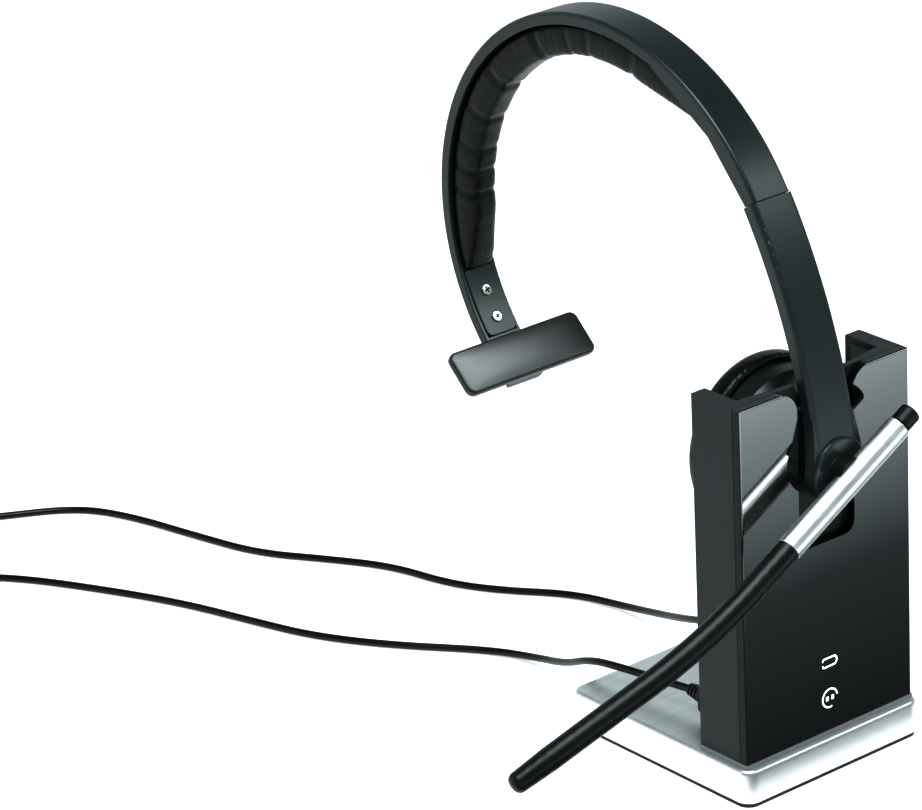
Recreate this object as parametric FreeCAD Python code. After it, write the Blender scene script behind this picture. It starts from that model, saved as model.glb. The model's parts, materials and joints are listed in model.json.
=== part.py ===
"""A one-ear wireless office headset standing in its charging stand.

Millimetres. +Z is up, -Y is the front, and the origin is the middle of the foot's underside.
The headset hangs by its ear cup in the stand's channel, with its arm in the front notch.
"""
import FreeCAD, Part
import math
import os

V = FreeCAD.Vector

# ---------------------------------------------------------------- driving dimensions
# Base
BASE_WIDTH = 72.3
BASE_DEPTH = 80.6
BASE_HEIGHT = 10.6          # the metal cover, above the foot
BASE_CORNER_R = 4.5
BASE_EDGE_R = 1.4
BASE_WALL = 2.0
FOOT_HEIGHT = 1.5
FOOT_INSET = 0.5
BALLAST_GAP = 0.6

# Upright
UPRIGHT_WIDTH = 68.0
UPRIGHT_DEPTH = 20.6
UPRIGHT_HEIGHT = 115.0      # from the base to the top edge
FRONT_LIP = 2.25            # the base stands this far out ahead of the upright
TRIM_HEIGHT = 1.3
TRIM_OVERHANG = 0.3
SIDE_WALL = 5.9
FRONT_WALL = 7.0            # panel and housing together
PANEL_THICKNESS = 3.0
PANEL_GAP = 0.2
PANEL_EDGE_R = 0.6
FLOOR_THICKNESS = 1.2
COVER_THICKNESS = 2.0
LINER_THICKNESS = 0.8
LINER_INSET = 2.2
DISH_DEPTH = 2.3            # how far the front wall is hollowed behind the notch

# Notch for the arm
NOTCH_HALF_WIDTH = 11.2
NOTCH_BELOW_HUB = 24.5
NOTCH_FOOT_R = 4.0
NOTCH_TOP_R = 7.0
SLOT_PLAY = 1.1             # beside the neck and the arm, in the slot of the wall behind the panel
ARM_SLOT_HEIGHT = 19.0      # above the hub; from here up the slot is as wide as the arm
WALL_EDGE_R = 0.4

# Screws, charging pins and light guides of the stand
SCREW_PLAY = 0.1
SMALL_SCREW_R = 0.9         # in the cup, the arm and the band
BASE_SCREW_X = 10.0
BASE_SCREW_DEPTH = 14.8     # behind the upright's front face
BASE_SCREW_R = 1.5
BASE_SCREW_HEAD_R = 2.8
BASE_SCREW_HEAD = 1.9
BASE_SCREW_SINK = 2.4       # the heads' undersides, above the foot's top
SCREW_BOSS_R = 3.2
SCREW_BOSS_HEIGHT = 5.0
BOARD_SCREW_R = 1.0
BOARD_HEAD_R = 1.9
BOARD_POST_R = 2.4
BOARD_POST_X = 20.0
BOARD_POST_DROP = 12.0      # the posts, below the seat's floor
BOARD_MARGIN = 3.1          # beside the board, in the channel
BOARD_TOP_GAP = 3.5
CONTACT_X = 5.0
CONTACT_R = 0.8
CONTACT_PAD_R = 1.6
CONTACT_PAD = 1.2
CONTACT_DEPTH = 16.0        # behind the upright's front face
GUIDE_R = 3.6
BATTERY_ICON_HEIGHT = 23.9  # both icons, above the base
HEADSET_ICON_HEIGHT = 11.9

# Ear cup
HUB_HEIGHT = 87.9           # the cup's centre above the base
CUP_R = 25.6
CUP_DOME_R = 25.0
CUP_NOSE_R = 6.6            # the opening that the neck passes through
CUP_WALL = 1.6
CUP_SCREW_ANGLES = (75, 180, 285)
CUP_NOSE_DEPTH = 8.7        # these depths are behind the upright's front face
CUP_DOME_DEPTH = 16.5
CUP_RIM_DEPTH = 22.5
BAFFLE_THICKNESS = 1.5
CUSHION_R = 28.0
CUSHION_HOLE_R = 14.5
CUSHION_THICKNESS = 9.6
CUSHION_ROUND_R = 4.4
SPEAKER_R = 13.6
SPEAKER_THICKNESS = 4.5
SCREEN_THICKNESS = 0.6
SEAT_CLEARANCE = 0.45
SEAT_HALF_ANGLE = 38.0

# Cup pivot
PIVOT_DEPTH = 17.5
PIVOT_PIN_R = 1.0
PIVOT_EYE_R = 3.0
PIVOT_EYE_HALF = 2.4
PIVOT_EAR = 2.2
RUNNING_CLEARANCE = 0.05
SIDE_PLAY = 0.3

# Headband and arm: one line of three arcs, told by its heading in degrees above +Y
ARM_FACE = 6.3              # the arm's outer face, ahead of the upright, at the hub
HUB_HEADING = 83.4
JOINT_HEADING = 58.8
CROWN_HEADING = 3.1
END_HEADING = -141.6
ARM_R = 195.0
FRONT_R = 83.4
REAR_R = 74.4
ARM_WIDTH = 15.9
ARM_THICKNESS = 5.0
ARM_WALL = 1.4
ARM_EDGE_R = 1.6
ARM_COVER = 1.0
ARM_COVER_START = 5.4       # degrees above the hub
JOINT_GAP = 0.3
HUB_R = 10.2
HUB_THICKNESS = 5.3
FLARE_HEIGHT = 17.0         # the arm reaches its own width here, above the hub
NECK_R = 4.5
BAND_WIDTH = 14.1
BAND_THICKNESS = 3.9
BAND_SKIN = 1.1
BAND_CHEEK = 1.2
BAND_EDGE_R = 1.2
CHEEK_RISE_HEADING = 20.0     # in front of this the cheeks rise to a flat inner face
CHEEK_PAD_DEPTH = 5.2         # their depth where the pad starts, and at the joint
CHEEK_JOINT_DEPTH = 4.8
PLATE_CORNER_R = 2.0
LINER_BAND = 0.8
STRIP_THICKNESS = 0.5
STRIP_WIDTH = 8.0
TONGUE_WIDTH = 9.6
TONGUE_THICKNESS = 0.8
TONGUE_IN_BAND = 28.0       # degrees of the front arc
TONGUE_IN_ARM = 9.0
SLIDE_GAP = 0.3

# Pad and end plate on the headband
PAD_WIDTH = 11.4
PAD_THICKNESS = 10.6
PAD_ROUND_R = 4.0
PAD_FRONT_END = 1.2         # its thickness at either end
PAD_REAR_END = 2.4
PAD_START_HEADING = 41.5
PAD_FULL_HEADING = 17.0
PAD_THIN_HEADING = -93.0
PAD_END_HEADING = -110.3
PLATE_END_HEADING = -128.6
PLATE_RISE = 0.6
PLATE_SCREW_HEADINGS = (-116.6, -124.0)
PLATE_HEAD_R = 1.75

# T-bar
T_BAR_HEADING = -136.4
T_BAR_LENGTH = 52.0
T_BAR_HEIGHT = 15.3
T_BAR_FACE = 6.0            # the pad's face from the pivot
T_BAR_BACK = 2.9
T_BAR_ROUND_R = 2.2
T_BAR_CORE = 1.3
T_BAR_PIVOT_INSET = 2.9
T_BAR_PIN_R = 0.8
T_BAR_PIN_START = 6.2       # the pin's closed end, left of the middle
T_BAR_EYE_R = 1.7
T_BAR_LUG_HALF = 3.0

# Boom
BOOM_SLOPE = 29.3           # degrees below level, to the left
BOOM_AXIS_FACE = 11.5       # its axis, ahead of the upright
BOOM_R = 3.9
BOOM_WALL = 0.6
BOOM_TOP = 20.9             # sleeve ends, from the hub
BOOM_FOOT = 30.1
BOSS_R = 5.4
SPINDLE_R = 2.0
WASHER_THICKNESS = 0.5
GOOSENECK_R = 3.7
GOOSENECK_STRAIGHT = 15.0
GOOSENECK_BEND_LENGTH = 45.0
GOOSENECK_BEND = 12.4
GOOSENECK_END = 34.0
GOOSENECK_LEAN = 67.0       # the bend's plane, from the front view's plane towards the back
MIC_LENGTH = 14.0
MIC_TIP_R = 3.2
MUTE_R = 3.3
MUTE_LENGTH = 5.6
MUTE_TRAVEL_GAP = 0.7

# Cords
CORD_R = 1.2
PLUG_SPACING = 38.0
PLUG_HEIGHT_ABOVE_BASE = 7.0
PLUG_BODY = (6.4, 14.0, 9.4)
PLUG_RELIEF = 6.2
PLUG_STAND_OFF = 0.4
FAR_BODY = (12.0, 19.0, 7.4)
FAR_SHELL = (11.8, 12.0, 4.5)
FAR_SHELL_WALL = 0.4
FAR_RELIEF = 7.5
COIL_MEAN_R = 13.2
COIL_HEIGHT = 9.6
POWER_COIL_HALF = 4.2       # half the width of each coil's ring
DATA_COIL_HALF = 5.1
POWER_PLUG_TURN = 40.0      # where each far plug lies round its coil
DATA_PLUG_TURN = 60.0

# Controls on the cup's rim: heights along the rim, then depths from front to back
CALL_ANGLE = 0.0
ROCKER_ANGLE = 36.0
POWER_ANGLE = -32.0
CALL_SIZE = (4.4, 4.0)
ROCKER_SIZE = (10.0, 3.4)
POWER_SIZE = (4.6, 2.2)
POWER_TRAVEL = 1.6
CONTROL_DEPTH = 18.6        # behind the upright's front face
FOOT_INWARD = 3.9           # a control's foot, inside the cup's outer face
FOOT_LEDGE = 0.3            # how far the foot reaches past its cap, front and back
FOOT_SIDE_LEDGE = 0.8
FOOT_HALF = 0.4
ROCKER_PIN_R = 0.6
BUTTON_RISE = 0.7
BUTTON_TRAVEL = 0.6

# ---------------------------------------------------------------- places worked out from them
BASE_TOP = FOOT_HEIGHT + BASE_HEIGHT
TRIM_TOP = BASE_TOP + TRIM_HEIGHT
UPRIGHT_TOP = BASE_TOP + UPRIGHT_HEIGHT
FRONT_Y = FRONT_LIP - BASE_DEPTH / 2
HOUSING_Y = FRONT_Y + PANEL_THICKNESS + PANEL_GAP
CHANNEL_Y = FRONT_Y + FRONT_WALL
BACK_Y = FRONT_Y + UPRIGHT_DEPTH
CHANNEL_HALF = UPRIGHT_WIDTH / 2 - SIDE_WALL
HUB_Z = BASE_TOP + HUB_HEIGHT
BASE_SCREW_PLACES = tuple((x, FRONT_Y + BASE_SCREW_DEPTH) for x in (-BASE_SCREW_X, BASE_SCREW_X))
ICON_HEIGHTS = (BASE_TOP + BATTERY_ICON_HEIGHT, BASE_TOP + HEADSET_ICON_HEIGHT)
CONTACT_XS = (-CONTACT_X, CONTACT_X)
CONTACT_Y = FRONT_Y + CONTACT_DEPTH
CONTROL_Y = FRONT_Y + CONTROL_DEPTH
FOOT_R = CUP_R - FOOT_INWARD
PLUG_START_Y = BACK_Y + PLUG_STAND_OFF
PLUG_END_Y = PLUG_START_Y + PLUG_BODY[1] + PLUG_RELIEF
RIM_Y = FRONT_Y + CUP_RIM_DEPTH
DOME_Y = FRONT_Y + CUP_DOME_DEPTH
NOSE_Y = FRONT_Y + CUP_NOSE_DEPTH
BAFFLE_Y = RIM_Y - BAFFLE_THICKNESS
PIVOT_Y = FRONT_Y + PIVOT_DEPTH
ARM_FACE_Y = FRONT_Y - ARM_FACE
BOOM_Y = FRONT_Y - BOOM_AXIS_FACE
TONGUE_INSET = BAND_SKIN + STRIP_THICKNESS + SLIDE_GAP
ARM_COVER_FOOT = HUB_HEADING - ARM_COVER_START
ARM_SCREW_HEADINGS = (JOINT_HEADING + 2.6, ARM_COVER_FOOT - 1.2)
ARM_TOP_HEADING = JOINT_HEADING + math.degrees(JOINT_GAP / ARM_R)
BAND_TOP_HEADING = JOINT_HEADING - math.degrees(JOINT_GAP / FRONT_R) / 2
BOOM_WAY = V(-math.cos(math.radians(BOOM_SLOPE)), 0, -math.sin(math.radians(BOOM_SLOPE)))
SEAT_R = CUP_R + SEAT_CLEARANCE
SEAT_TOP = HUB_Z - SEAT_R * math.cos(math.radians(SEAT_HALF_ANGLE))
SEAT_FLOOR = HUB_Z - SEAT_R - 8.0
SEAT_BACK_Y = BACK_Y - 1.8
NOTCH_FOOT = HUB_Z - NOTCH_BELOW_HUB
PLUG_Z = BASE_TOP + PLUG_HEIGHT_ABOVE_BASE
BOARD_Y = CHANNEL_Y + 4.4
BOARD_THICKNESS = 1.6
BOARD_BACK_Y = BOARD_Y + BOARD_THICKNESS


# ---------------------------------------------------------------- small makers
def save(shape, name):
    """Write one node, after a check that it is sound."""
    if not shape.isValid():
        print("NOT VALID", name)
    os.makedirs("parts", exist_ok=True)
    shape.exportStep("parts/%s.step" % name)
    print("%-24s %2d solids %9.1f mm3" % (name, len(shape.Solids), shape.Volume))


def box(x0, x1, y0, y1, z0, z1):
    """A box between two corners."""
    return Part.makeBox(x1 - x0, y1 - y0, z1 - z0, V(x0, y0, z0))


def rod(start, end, radius):
    """A round bar between two points."""
    line = end - start
    return Part.makeCylinder(radius, line.Length, start, line)


def rounded_face(corners, plane):
    """A flat face from (a, b, radius) corners; plane turns a and b into a point."""
    count = len(corners)
    tangents = []
    for i, (a, b, radius) in enumerate(corners):
        here = V(a, b, 0)
        before = (V(*corners[i - 1][:2], 0) - here).normalize()
        after = (V(*corners[(i + 1) % count][:2], 0) - here).normalize()
        half = before.getAngle(after) / 2
        reach = radius / math.tan(half)
        middle = here + (before + after).normalize() * (radius / math.sin(half) - radius) if radius else here
        tangents.append((here + before * reach, middle, here + after * reach, radius))
    edges = []
    for i, (start, middle, end, radius) in enumerate(tangents):
        if radius:
            edges.append(Part.Arc(plane(start), plane(middle), plane(end)).toShape())
        following = tangents[(i + 1) % count][0]
        if (following - end).Length > 1e-6:
            edges.append(Part.LineSegment(plane(end), plane(following)).toShape())
    return Part.Face(Part.Wire(edges))


def rounded_block(width, depth, centre_y, z0, z1, radius):
    """An upright block with round vertical corners, centred on x = 0."""
    w, d = width / 2, depth / 2
    front, back = centre_y - d, centre_y + d
    corners = [(-w, front, radius), (w, front, radius), (w, back, radius), (-w, back, radius)]
    return rounded_face(corners, lambda p: V(p.x, p.y, z0)).extrude(V(0, 0, z1 - z0))


def round_edges(shape, radius, wanted):
    """Fillet the edges whose middle point passes the test."""
    chosen = []
    for edge in shape.Edges:
        middle = edge.valueAt((edge.FirstParameter + edge.LastParameter) / 2)
        if wanted(edge, middle):
            chosen.append(edge)
    return shape.makeFillet(radius, chosen)


def near(a, b):
    """True where two lengths are the same to a hundredth."""
    return abs(a - b) < 0.01


def cup_point(radius, y):
    """A point on the cup's profile, beside its axis."""
    return V(radius, y, HUB_Z)


def spin(points_and_arcs):
    """Revolve a closed profile about the cup's axis; three-point entries are arcs."""
    edges = []
    for entry in points_and_arcs:
        if len(entry) == 3:
            edges.append(Part.Arc(*entry).toShape())
        else:
            edges.append(Part.LineSegment(*entry).toShape())
    return Part.Face(Part.Wire(edges)).revolve(V(0, 0, HUB_Z), V(0, 1, 0), 360)


def around_cup(shape, degrees):
    """Turn a piece made on the cup's +X side to its own place on the rim."""
    copy = shape.copy()
    copy.rotate(V(0, 0, HUB_Z), V(0, 1, 0), -degrees)
    return copy


# ---------------------------------------------------------------- the line of the arm and the headband
def line_arcs():
    """The three arcs as (centre y, centre z, radius, first heading, last heading)."""
    arcs = []
    y, z = ARM_FACE_Y, HUB_Z
    parts = [(ARM_R, HUB_HEADING, JOINT_HEADING), (FRONT_R, JOINT_HEADING, CROWN_HEADING)]
    parts.append((REAR_R, CROWN_HEADING, END_HEADING))
    for radius, first, last in parts:
        turn = math.radians(first)
        centre_y = y + radius * math.sin(turn)
        centre_z = z - radius * math.cos(turn)
        arcs.append((centre_y, centre_z, radius, first, last))
        turn = math.radians(last)
        y = centre_y - radius * math.sin(turn)
        z = centre_z + radius * math.cos(turn)
    return arcs


LINE_ARCS = line_arcs()
SLIDE_CENTRE = V(0, LINE_ARCS[1][0], LINE_ARCS[1][1])


def line_point(heading, inset, arc=None):
    """The point at a heading on the line, set in from the outer face."""
    if arc is None:
        arc = next(a for a in LINE_ARCS if heading >= a[4] - 1e-9)
    turn = math.radians(heading)
    reach = arc[2] - inset
    return V(0, arc[0] - reach * math.sin(turn), arc[1] + reach * math.cos(turn))


def line_edges(first, last, inset, arcs):
    """Arc edges from one heading down to another."""
    edges = []
    for arc in arcs:
        a, b = min(first, arc[3]), max(last, arc[4])
        if a - b > 1e-6:
            points = [line_point(h, inset, arc) for h in (a, (a + b) / 2, b)]
            edges.append(Part.Arc(*points).toShape())
    return edges


def slab(first, last, inset, depth, width, arcs=None):
    """A curved slab along the line: inset and depth are measured from the outer face."""
    arcs = arcs or LINE_ARCS
    outer = line_edges(first, last, inset, arcs)
    inner = line_edges(first, last, depth, arcs)
    start = Part.LineSegment(outer[0].Vertexes[0].Point, inner[0].Vertexes[0].Point)
    end = Part.LineSegment(outer[-1].Vertexes[-1].Point, inner[-1].Vertexes[-1].Point)
    caps = [start.toShape(), end.toShape()]
    face = Part.Face(Part.Wire(Part.__sortEdges__(outer + inner + caps)))
    face.translate(V(-width / 2, 0, 0))
    return face.extrude(V(width, 0, 0))


def inset_of(point):
    """How far a point lies inside the line's outer face, on the arc that it belongs to."""
    found = []
    for centre_y, centre_z, radius, first, last in LINE_ARCS:
        dy, dz = point.y - centre_y, point.z - centre_z
        heading = math.degrees(math.atan2(-dy, dz))
        if last - 0.5 <= heading <= first + 0.5:
            found.append(radius - math.hypot(dy, dz))
    return min(found, key=abs) if found else 1e9


def long_edge(width, inset):
    """A test for the long edges of a slab at one inset."""
    return lambda edge, p: edge.Length > 8 and near(abs(p.x), width / 2) and near(inset_of(p), inset)


def across_line(heading, inset, depth, radius, x=0.0):
    """A round bar through the line's thickness at one heading."""
    start, end = line_point(heading, inset), line_point(heading, depth)
    shift = V(x, 0, 0)
    return rod(start + shift, end + shift, radius)


# ---------------------------------------------------------------- screws
def screw(head, direction, length, shaft_r, head_r, head_h):
    """A pan-head screw: the head's underside is at the given point, the shaft runs along direction."""
    way = V(direction).normalize()
    shaft = rod(head, head + way * length, shaft_r)
    cap = rod(head, head - way * head_h, head_r)
    top = head - way * head_h
    cap = round_edges(cap, head_h * 0.45, lambda e, p: e.Closed and abs((p - top).dot(way)) < 1e-3)
    return shaft.fuse(cap)


# ---------------------------------------------------------------- the stand


def foot_pad():
    width, depth = BASE_WIDTH - 2 * FOOT_INSET, BASE_DEPTH - 2 * FOOT_INSET
    return rounded_block(width, depth, 0, 0, FOOT_HEIGHT, BASE_CORNER_R - FOOT_INSET)


def base_cavity(gap, z0, z1):
    """The hollow under the cover, or the ballast that fills it less a gap."""
    shrink = 2 * (BASE_WALL + gap)
    return rounded_block(BASE_WIDTH - shrink, BASE_DEPTH - shrink, 0, z0, z1, BASE_CORNER_R - BASE_WALL)


def screw_holes(z0, z1, radius):
    """Upright holes for the two screws that hold the upright down."""
    return [rod(V(x, y, z0), V(x, y, z1), radius) for x, y in BASE_SCREW_PLACES]


def base_plate():
    plate = rounded_block(BASE_WIDTH, BASE_DEPTH, 0, FOOT_HEIGHT, BASE_TOP, BASE_CORNER_R)
    plate = round_edges(plate, BASE_EDGE_R, lambda e, p: near(p.z, BASE_TOP))
    plate = plate.cut(base_cavity(0, FOOT_HEIGHT, BASE_TOP - BASE_WALL))
    return plate.cut(screw_holes(0, BASE_TOP + 1, BASE_SCREW_R + SCREW_PLAY))


def ballast_plate():
    ballast = base_cavity(BALLAST_GAP, FOOT_HEIGHT, BASE_TOP - BASE_WALL)
    heads = screw_holes(FOOT_HEIGHT - 1, FOOT_HEIGHT + BASE_SCREW_SINK, BASE_SCREW_HEAD_R + 2 * SCREW_PLAY)
    return ballast.cut(screw_holes(0, BASE_TOP, BASE_SCREW_R + SCREW_PLAY) + heads)


def base_screws():
    seat = FOOT_HEIGHT + BASE_SCREW_SINK
    length = TRIM_TOP + FLOOR_THICKNESS + SCREW_BOSS_HEIGHT - 1.0 - seat
    sizes = (length, BASE_SCREW_R, BASE_SCREW_HEAD_R, BASE_SCREW_HEAD)
    return [screw(V(x, y, seat), V(0, 0, 1), *sizes) for x, y in BASE_SCREW_PLACES]


def foot_trim():
    width, depth = UPRIGHT_WIDTH + 2 * TRIM_OVERHANG, UPRIGHT_DEPTH + TRIM_OVERHANG
    trim = rounded_block(width, depth, BACK_Y - depth / 2, BASE_TOP, TRIM_TOP, 0.5)
    return trim.cut(screw_holes(BASE_TOP - 1, TRIM_TOP + 1, BASE_SCREW_R + SCREW_PLAY))


def notch_cutter(y0, y1):
    """The notch's outline, round at the foot and flared at the top."""
    w, flare = NOTCH_HALF_WIDTH, NOTCH_TOP_R
    top = UPRIGHT_TOP
    corners = [(-w, NOTCH_FOOT, NOTCH_FOOT_R), (w, NOTCH_FOOT, NOTCH_FOOT_R)]
    corners += [(w, top + 5, 0), (-w, top + 5, 0)]
    middle = rounded_face(corners, lambda p: V(p.x, y0, p.y)).extrude(V(0, y1 - y0, 0))
    for side in (-1, 1):
        corner = box(*sorted((side * (w - 1), side * (w + flare))), y0, y1, top - flare, top + 5)
        x, z = side * (w + flare), top - flare
        corner = corner.cut(rod(V(x, y0, z), V(x, y1, z), flare))
        middle = middle.fuse(corner)
    return middle


def neck_slot(y0, y1):
    """The slot in the wall behind the panel: narrow for the neck, wide for the arm above it."""
    half, arm_half = NECK_R + SLOT_PLAY, ARM_WIDTH / 2 + SLOT_PLAY
    slot = box(-half, half, y0, y1, HUB_Z, UPRIGHT_TOP + 5)
    head = box(-arm_half, arm_half, y0, y1, HUB_Z + ARM_SLOT_HEIGHT, UPRIGHT_TOP + 5)
    foot = rod(V(0, y0, HUB_Z), V(0, y1, HUB_Z), half)
    return slot.fuse([head, foot]).removeSplitter()


def front_panel():
    half = UPRIGHT_WIDTH / 2
    panel = box(-half, half, FRONT_Y, FRONT_Y + PANEL_THICKNESS, TRIM_TOP, UPRIGHT_TOP)
    panel = round_edges(panel, PANEL_EDGE_R, lambda e, p: near(p.y, FRONT_Y) and not near(p.z, TRIM_TOP))
    return panel.cut(notch_cutter(FRONT_Y - 1, FRONT_Y + PANEL_THICKNESS + 1))


def dish():
    """The shallow round hollow in the front wall's inner face, for the cup's nose."""
    chord = CHANNEL_HALF - 2.0
    radius = (chord * chord + DISH_DEPTH * DISH_DEPTH) / (2 * DISH_DEPTH)
    middle = V(0, CHANNEL_Y - DISH_DEPTH + radius, 0)
    drum = Part.makeCylinder(radius, UPRIGHT_TOP - SEAT_TOP + 6, V(0, middle.y, SEAT_TOP), V(0, 0, 1))
    return drum.common(box(-CHANNEL_HALF, CHANNEL_HALF, HOUSING_Y, CHANNEL_Y + 1, SEAT_TOP, UPRIGHT_TOP + 5))


def liner_pocket(side, depth):
    """The shallow pocket in a side wall's inner face, or the liner that fills it."""
    x = sorted((side * CHANNEL_HALF, side * (CHANNEL_HALF + depth)))
    return box(x[0], x[1], CHANNEL_Y + LINER_INSET, BACK_Y - LINER_INSET, SEAT_TOP, UPRIGHT_TOP - LINER_INSET)


def board_posts():
    """Two posts inside the front wall that carry the circuit board."""
    return [(x, SEAT_FLOOR - BOARD_POST_DROP) for x in (-BOARD_POST_X, BOARD_POST_X)]


def board_holes(y0, y1):
    return [rod(V(x, y0, z), V(x, y1, z), BOARD_SCREW_R + SCREW_PLAY) for x, z in board_posts()]


def wall_top_edge(edge, middle):
    """The inner top edges of the two side walls."""
    return near(middle.z, UPRIGHT_TOP) and near(abs(middle.x), CHANNEL_HALF) and edge.Length > 5


def upright_housing():
    half = UPRIGHT_WIDTH / 2
    housing = box(-half, half, HOUSING_Y, BACK_Y, TRIM_TOP, UPRIGHT_TOP)
    housing = round_edges(housing, 0.5, lambda e, p: near(p.y, BACK_Y) and near(abs(p.x), half))
    roof = SEAT_FLOOR - FLOOR_THICKNESS
    channel = box(-CHANNEL_HALF, CHANNEL_HALF, CHANNEL_Y, BACK_Y + 1, SEAT_FLOOR, UPRIGHT_TOP + 1)
    room = box(-CHANNEL_HALF, CHANNEL_HALF, CHANNEL_Y, BACK_Y + 1, TRIM_TOP + FLOOR_THICKNESS, roof)
    housing = housing.cut([channel, room, dish()])
    housing = round_edges(housing, WALL_EDGE_R, wall_top_edge)
    housing = housing.cut(neck_slot(HOUSING_Y - 1, CHANNEL_Y + 1))
    housing = housing.cut([liner_pocket(side, LINER_THICKNESS) for side in (-1, 1)])
    posts = [rod(V(x, CHANNEL_Y, z), V(x, BOARD_Y, z), BOARD_POST_R) for x, z in board_posts()]
    floor = TRIM_TOP + FLOOR_THICKNESS
    boss_top = floor + SCREW_BOSS_HEIGHT
    bosses = [rod(V(x, y, floor), V(x, y, boss_top), SCREW_BOSS_R) for x, y in BASE_SCREW_PLACES]
    housing = housing.fuse(posts + bosses).removeSplitter()
    holes = screw_holes(TRIM_TOP - 1, boss_top - 0.8, BASE_SCREW_R + SCREW_PLAY)
    holes += board_holes(HOUSING_Y + 1.5, BOARD_Y + 1)
    holes += [light_guide_bar(z, SCREW_PLAY) for z in ICON_HEIGHTS]
    holes += [contact_bar(x, SCREW_PLAY) for x in CONTACT_XS]
    return housing.cut(holes)


def light_guide_bar(z, play):
    """A clear bar from the circuit board to the back of the front panel."""
    return rod(V(0, FRONT_Y + PANEL_THICKNESS, z), V(0, BOARD_Y, z), GUIDE_R + play)


def contact_bar(x, play):
    """A sprung charging pin, from below the seat up to the cup's rim."""
    top = HUB_Z - math.sqrt(CUP_R ** 2 - (abs(x) + CONTACT_R) ** 2) - 0.25
    foot = SEAT_FLOOR - FLOOR_THICKNESS - 3
    return rod(V(x, CONTACT_Y, foot), V(x, CONTACT_Y, top + play), CONTACT_R + play)


def cradle_seat():
    """The block under the cup, hollowed to the cup's round."""
    half = CHANNEL_HALF - SCREW_PLAY
    seat = box(-half, half, CHANNEL_Y, SEAT_BACK_Y, SEAT_FLOOR, SEAT_TOP)
    seat = seat.cut(rod(V(0, CHANNEL_Y - 1, HUB_Z), V(0, BACK_Y, HUB_Z), SEAT_R))
    return seat.cut([contact_bar(x, SCREW_PLAY) for x in CONTACT_XS])


def circuit_board():
    """The board stands on the floor behind the posts, cut out round the two bosses."""
    half = CHANNEL_HALF - BOARD_MARGIN
    floor, top = TRIM_TOP + FLOOR_THICKNESS, SEAT_FLOOR - FLOOR_THICKNESS - BOARD_TOP_GAP
    board = box(-half, half, BOARD_Y, BOARD_BACK_Y, floor + 0.4, top)
    board = board.cut(board_holes(BOARD_Y - 1, BOARD_BACK_Y + 1))
    for x, y in BASE_SCREW_PLACES:
        boss_top = floor + SCREW_BOSS_HEIGHT
        board = board.cut(rod(V(x, y, TRIM_TOP), V(x, y, boss_top + 0.4), SCREW_BOSS_R + 0.4))
    return board


def board_screws():
    sizes = (5.0, BOARD_SCREW_R, BOARD_HEAD_R, 1.2)
    return [screw(V(x, BOARD_BACK_Y, z), V(0, -1, 0), *sizes) for x, z in board_posts()]


def socket_window(half_width, half_height, y0, y1, side):
    x = side * PLUG_SPACING / 2
    return box(x - half_width, x + half_width, y0, y1, PLUG_Z - half_height, PLUG_Z + half_height)


def rear_cover():
    top = SEAT_FLOOR - FLOOR_THICKNESS
    half = CHANNEL_HALF - SCREW_PLAY
    cover = box(-half, half, BACK_Y - COVER_THICKNESS, BACK_Y, TRIM_TOP + FLOOR_THICKNESS, top)
    cover = cover.cut([socket_window(1.9, 4.0, BACK_Y - 5, BACK_Y + 1, side) for side in (-1, 1)])
    return cover.cut(board_holes(BACK_Y - 5, BACK_Y + 1))


def rear_cover_screws():
    reach = BACK_Y - BOARD_BACK_Y - 1.6
    sizes = (reach, BOARD_SCREW_R, BOARD_HEAD_R, 1.0)
    return [screw(V(x, BACK_Y, z), V(0, -1, 0), *sizes) for x, z in board_posts()]


def socket(side):
    """A small charging socket, standing on its narrow side."""
    shell = socket_window(1.7, 3.8, BOARD_BACK_Y, BACK_Y - 0.6, side)
    return shell.cut(socket_window(1.2, 3.4, BOARD_BACK_Y + 0.8, BACK_Y, side))


def plug(side):
    """A moulded plug with its metal tongue and a ribbed strain relief."""
    x = side * PLUG_SPACING / 2
    w, length, h = PLUG_BODY
    start = PLUG_START_Y
    outline = [(-w / 2, -h / 2, 1.6), (w / 2, -h / 2, 1.6), (w / 2, h / 2, 1.6), (-w / 2, h / 2, 1.6)]
    body = rounded_face(outline, lambda p: V(x + p.x, start, PLUG_Z + p.y)).extrude(V(0, length, 0))
    body = round_edges(body, 0.8, lambda e, p: near(p.y, start + length))
    relief = Part.makeCone(2.9, 1.9, PLUG_RELIEF, V(x, start + length, PLUG_Z), V(0, 1, 0))
    grooves = []
    for k in range(3):
        y = start + length + 1.2 + 1.7 * k
        ring = rod(V(x, y, PLUG_Z), V(x, y + 0.7, PLUG_Z), 4)
        grooves.append(ring.cut(rod(V(x, y, PLUG_Z), V(x, y + 0.7, PLUG_Z), 1.7)))
    tongue = socket_window(0.9, 3.2, BACK_Y - 4.6, start, side)
    return body.fuse([relief.cut(grooves), tongue])


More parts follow.
